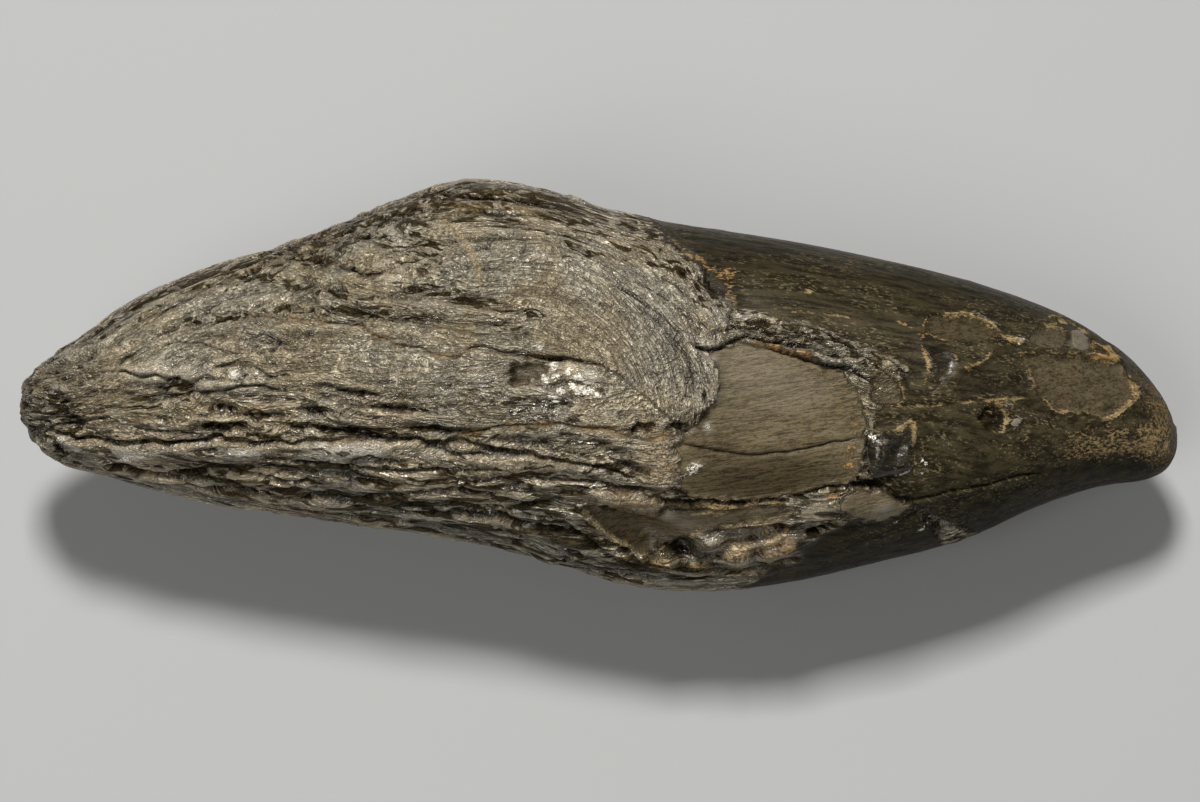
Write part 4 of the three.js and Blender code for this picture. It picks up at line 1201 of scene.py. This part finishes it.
class Fossil(Nodes):
    """Wrinkled grey-brown cement, smooth dark crown, bare dentine and ochre mineral."""

    def __init__(self):
        super().__init__("fossil")
        self.paint = {name: self.add("ShaderNodeAttribute", {}, "Fac", attribute_name=name)
                      for name in PAINTS}
        self.grain = self.add("ShaderNodeAttribute", {}, "Vector", attribute_name="grain")
        self.place = self.scaled(self.add("ShaderNodeTexCoord", {}, "Object"), (1 / MM, 1 / MM, 1 / MM))
        self.add_patterns()
        self.add_grooves()
        self.add_shares()
        bump = self.add("ShaderNodeBump", {"Strength": 1.0, "Distance": MM, "Height": self.relief()})
        self.finish(Base_Color=self.tint(), Roughness=self.roughness(), Specular_IOR_Level=self.shine(),
                    Normal=bump)

    def grained(self, stretch, scale, detail=2.0, roughness=0.5, distortion=0.0):
        """Noise that is drawn out along the grain, the longer the smaller its stretch is."""
        return self.noise(self.scaled(self.grain, (stretch, 1.0, 1.0)), scale, detail, roughness, distortion)

    def by_layer(self, short, long):
        return self.ramp(self.paint["layered"], 0.0, 1.0, short, long)

    def add_patterns(self):
        """The noises that several parts of the material share."""
        self.strands = self.by_layer(self.grained(0.42, 0.80, roughness=0.55, distortion=1.4),
                                     self.grained(0.10, 0.95, roughness=0.55, distortion=0.6))
        self.fibres = self.by_layer(self.grained(0.55, 1.3, detail=1.0, distortion=1.6),
                                    self.grained(0.14, 1.5, detail=1.0, distortion=0.6))
        self.streaks = self.grained(0.12, 0.9, detail=5.0, roughness=0.7)
        self.lined = self.grained(0.045, 2.6, detail=3.0, roughness=0.75)
        self.mottle = self.grained(0.4, 0.5, detail=4.0, roughness=0.7)
        self.flecks = self.grained(0.4, 3.2, detail=3.0, roughness=0.7)
        self.curled = self.noise(self.place, 0.30, distortion=2.2)
        self.crinkle = self.noise(self.place, 0.85, detail=1.0, distortion=2.0)
        self.patches = self.noise(self.place, 0.11, detail=4.0, roughness=0.6)
        self.crumbs = self.noise(self.place, 2.0, detail=4.0, roughness=0.8)
        self.grit = self.noise(self.place, 3.6, roughness=0.6)

    def add_grooves(self):
        """Thin curled lines, the long fine lines of the arcs, and slits."""
        calm = self.paint["calm"]
        arcs = self.paint["arcs"] * 0.8
        self.quiet = self.most(calm, arcs)
        layers = self.grained(0.45, 0.34, distortion=2.0)
        curls = self.contours(layers, 0.070, 0.026) * (1.0 - calm * 0.8)
        rings = self.contours(self.curled, 0.065, 0.024) * self.quiet
        across = self.add("ShaderNodeSeparateXYZ", {"Vector": self.grain}, "Y")
        rows = across + self.grained(0.3, 0.45, roughness=0.6) * 3.0
        combed = self.contours(rows, 0.36, 0.17) * self.ramp(layers, 0.36, 0.48)
        slit = self.crossing(self.grained(0.14, 0.55, distortion=0.6), 0.050)
        lines = self.most(curls, rings) * self.ramp(self.fibres, 0.32, 0.46)
        self.groove = self.most(self.most(lines, combed * arcs), slit * 0.8)

    def add_shares(self):
        """How much of the crown, of the dark places and of the mineral shows, with ragged edges. The dark
        places are partly dark streaks and partly painted shade, in hollows and at the edges.
        """
        paint = self.paint
        self.crown = self.ragged(paint["crown"], self.fibres, 1.2, 0.40, 0.60)
        smooth = self.most(paint["dentine"], paint["crown"])
        dark = self.ragged(paint["dark"], self.strands, 5.0, 0.30, 0.75)
        self.dark = self.ramp(smooth, 0.0, 1.0, dark, paint["dark"])
        stained = paint["tan"] * self.ramp(self.mottle, 0.35, 0.58, 0.6, 1.1)
        breaks = self.ramp(self.crown, 0.0, 1.0, self.crumbs, self.flecks)
        self.mineral = self.ragged(stained, breaks, 2.4, 0.46, 0.76) * 0.85

    def cement_tint(self):
        """Pale grey strands over dark olive, and quieter where it is only crinkled."""
        arcs, relief = self.paint["arcs"], self.paint["relief"]
        weave = self.strands * 0.6 + self.fibres * 0.4
        weave = self.ramp(self.quiet, 0.0, 0.8, weave, self.crinkle)
        tint = self.mix(self.ramp(weave, 0.38, 0.52), CEMENT_DARK, CEMENT_MIDDLE)
        tint = self.mix(self.ramp(weave, 0.52, 0.62), tint, CEMENT_PALE)
        even = self.mix(self.ramp(self.curled, 0.36, 0.62), CALM_DARK, CALM_MIDDLE)
        # a painted highlight on the crinkles' raised tops
        even = self.mix(self.ramp(self.crinkle, 0.50, 0.66, 0.0, 0.5), even, CALM_PALE)
        even = self.mix(arcs * 0.5, even, ARCS_PALE)
        tint = self.mix(self.quiet * 0.85, tint, even)
        tone = self.ramp(self.mottle, 0.36, 0.64, 0.62, 1.25)
        shade = self.add("ShaderNodeCombineColor", {"Red": tone, "Green": tone, "Blue": tone})
        tint = self.mix(1.0, tint, shade, "MULTIPLY")
        tan_strands = self.grained(0.40, 1.0, detail=3.0, roughness=0.7, distortion=1.5)
        tan_share = self.ramp(tan_strands, 0.53, 0.62, 0.0, 0.75) * self.ramp(weave, 0.40, 0.50)
        tan_share = tan_share * self.ramp(self.quiet, 0.0, 1.0, 1.0, 0.45)
        tint = self.mix(tan_share * 0.8, tint, TAN_STRAND)
        # painted shade in the fine grooves, with brown mineral filling them in places
        groove_shade_and_fill = self.mix(self.ramp(self.patches, 0.42, 0.56), RECESS_SHADE, BROWN_SOIL)
        tint = self.mix(self.groove * 0.85, tint, groove_shade_and_fill)
        tint = self.mix(self.ramp(relief, 0.02, 0.25, 0.0, 0.45), tint, WORN_RIDGE)
        # painted shade where the relief sinks
        tint = self.mix(self.ramp(relief, -0.05, -0.30, 0.0, 0.85), tint, RECESS_SHADE)
        warmth = self.mix(self.ramp(self.patches, 0.40, 0.60), COOLER, WARMER)
        tint = self.mix(1.0, tint, warmth, "MULTIPLY")
        glints = self.ramp(self.grit, 0.64, 0.70) * self.ramp(relief, -0.05, 0.1)
        return self.mix(glints * 0.7, tint, GLINT)

    def crown_tint(self):
        """Dark olive brown, streaked, with fine tan speckle in drifts."""
        tint = self.mix(self.ramp(self.streaks, 0.40, 0.62), CROWN_DARK, CROWN_BROWN)
        drifts = self.grained(0.3, 0.22, detail=3.0, roughness=0.6)
        speckle = self.ramp(self.flecks, 0.54, 0.63) * self.ramp(drifts, 0.40, 0.60)
        return self.mix(speckle * 0.85, tint, CROWN_SPECKLE)

    def dentine_tint(self):
        """Brown, with fine straight lines."""
        tint = self.mix(self.ramp(self.lined, 0.38, 0.58), DENTINE_DARK, DENTINE_BROWN)
        tint = self.mix(self.ramp(self.streaks, 0.42, 0.66, 0.0, 0.5), tint, DENTINE_STREAK)
        tint = self.mix(self.ramp(self.grit, 0.55, 0.66, 0.0, 0.55), tint, DENTINE_GRIT)
        return self.mix(self.ramp(self.flecks, 0.48, 0.38, 0.0, 0.6), tint, DENTINE_FLECK)

    def mineral_tint(self):
        """Crumbly tan, a brown film where it is thin, and orange where it is ochre."""
        tint = self.mix(self.ramp(self.crumbs, 0.38, 0.66), MINERAL_DARK, MINERAL_PALE)
        tint = self.mix(self.ramp(self.paint["tan"], 0.5, 0.9), MINERAL_FILM, tint)
        return self.mix(self.paint["ochre"], tint, OCHRE)

    def tint(self):
        """The colour: cement, crown and dentine, and then what is painted over them."""
        paint = self.paint
        tint = self.mix(self.crown, self.cement_tint(), self.crown_tint())
        bare = self.ragged(paint["dentine"], self.fibres, 0.4, 0.40, 0.60)
        tint = self.mix(bare, tint, self.dentine_tint())
        # grey patches, partly painted sheen and highlights on glossy places
        grey = self.ragged(paint["grey"], self.fibres, 3.5, 0.42, 0.62)
        grey = self.ramp(paint["dentine"], 0.0, 1.0, grey, paint["grey"])
        tint = self.mix(grey * 0.7, tint, self.mix(self.ramp(paint["grey"], 0.6, 0.95), GREY, PALE_GREY))
        # white crumbs, and painted highlights on glossy places
        tint = self.mix(self.ragged(paint["white"], self.crumbs, 4.0, 0.40, 0.70), tint, WHITE)
        # the dark places, partly painted shade in hollows and at the edges
        tint = self.mix(self.dark, tint, DARK_AND_SHADE, "MULTIPLY")
        sand = self.mix(self.ramp(self.grit, 0.4, 0.6), SAND_DARK, SAND_PALE)
        tint = self.mix(paint["sand"] * 0.85, tint, sand)
        tint = self.mix(self.mineral, tint, self.mineral_tint())
        # painted shade in the cracks, recesses and slits
        return self.mix(paint["crevice_shade"] * 0.85, tint, CREVICE_SHADE)

    def roughness(self):
        """Polished where it stands out, and dull in the grooves, the mineral and the sand."""
        paint = self.paint
        polished = self.ramp(self.mottle, 0.3, 0.7, 0.20, 0.32) - paint["gloss"] * 0.16
        dull = self.mineral * 0.25 + self.groove * 0.1 + paint["sand"] * 0.25 + paint["crown"] * 0.15
        return self.math("ADD", polished, dull, clamp=True)

    def shine(self):
        """How much it reflects: little on the crown, the dentine and in the dark hollows."""
        paint = self.paint
        muted = self.most(self.most(paint["crown"], self.dark), paint["dentine"])
        muted = (muted * 0.8 + self.dark * 0.2) * (1.0 - paint["gloss"])
        return self.ramp(muted, 0.0, 1.0, 0.7, 0.04)

    def relief(self):
        """Relief finer than the mesh, in mm."""
        paint = self.paint
        root = (1.0 - self.most(paint["crown"], paint["dentine"])) * (1.0 - paint["gloss"] * 0.6)
        threads = self.ramp(self.strands, 0.36, 0.62, 0.0, 0.36) * self.ramp(self.quiet, 0.0, 0.8, 1.0, 0.2)
        threads = threads + self.ramp(self.crinkle, 0.36, 0.64, 0.0, 0.22) * self.quiet
        threads = threads + self.ramp(self.fibres, 0.36, 0.62, 0.0, 0.20)
        threads = threads + self.curled * 0.35 - self.groove * 0.22
        lines = self.lined * paint["dentine"] * 0.16
        return threads * root + lines + self.grit * 0.035 + self.mottle * 0.18 + self.mineral * 0.12


# The table and the light
FLOOR_HALF = 1.5
FLOOR_COLOUR = (0.335, 0.352, 0.374)
FLOOR_ROUGHNESS = 0.85
LAMP_COLOUR = (1.0, 0.95, 0.875)
LAMP_DISTANCE = 1.0
SKY_COLOUR = (1.0, 0.97, 0.92)
SKY_STRENGTH = 0.10


def add_floor():
    material = Nodes("floor").finish(Base_Color=FLOOR_COLOUR, Roughness=FLOOR_ROUGHNESS)
    corners = [(-FLOOR_HALF, -FLOOR_HALF, 0), (FLOOR_HALF, -FLOOR_HALF, 0), (FLOOR_HALF, FLOOR_HALF, 0),
               (-FLOOR_HALF, FLOOR_HALF, 0)]
    mesh = bpy.data.meshes.new("floor")
    mesh.from_pydata(corners, [], [(0, 1, 2, 3)])
    mesh.materials.append(material)
    floor = bpy.data.objects.new("floor", mesh)
    bpy.context.scene.collection.objects.link(floor)


def add_area_light(name, azimuth, elevation, size, power):
    """A square lamp that faces the tooth. Azimuth 0 is the camera's side."""
    turn, rise = math.radians(azimuth), math.radians(elevation)
    away = Vector((math.sin(turn) * math.cos(rise), -math.cos(turn) * math.cos(rise), math.sin(rise)))
    data = bpy.data.lights.new(name, "AREA")
    data.size = size
    data.energy = power
    data.color = LAMP_COLOUR
    light = bpy.data.objects.new(name, data)
    light.location = away * LAMP_DISTANCE
    light.rotation_euler = away.to_track_quat("Z", "Y").to_euler()
    bpy.context.scene.collection.objects.link(light)


def add_lights():
    add_area_light("key", azimuth=192, elevation=70, size=0.2, power=12.5)
    add_area_light("front", azimuth=-30, elevation=50, size=0.4, power=4.0)
    world = bpy.data.worlds.new("studio")
    world.use_nodes = True
    background = world.node_tree.nodes["Background"]
    background.inputs["Color"].default_value = (*SKY_COLOUR, 1.0)
    background.inputs["Strength"].default_value = SKY_STRENGTH
    bpy.context.scene.world = world
    bpy.context.scene.view_settings.view_transform = "Standard"


add_tooth(Fossil().material)
add_floor()
add_lights()
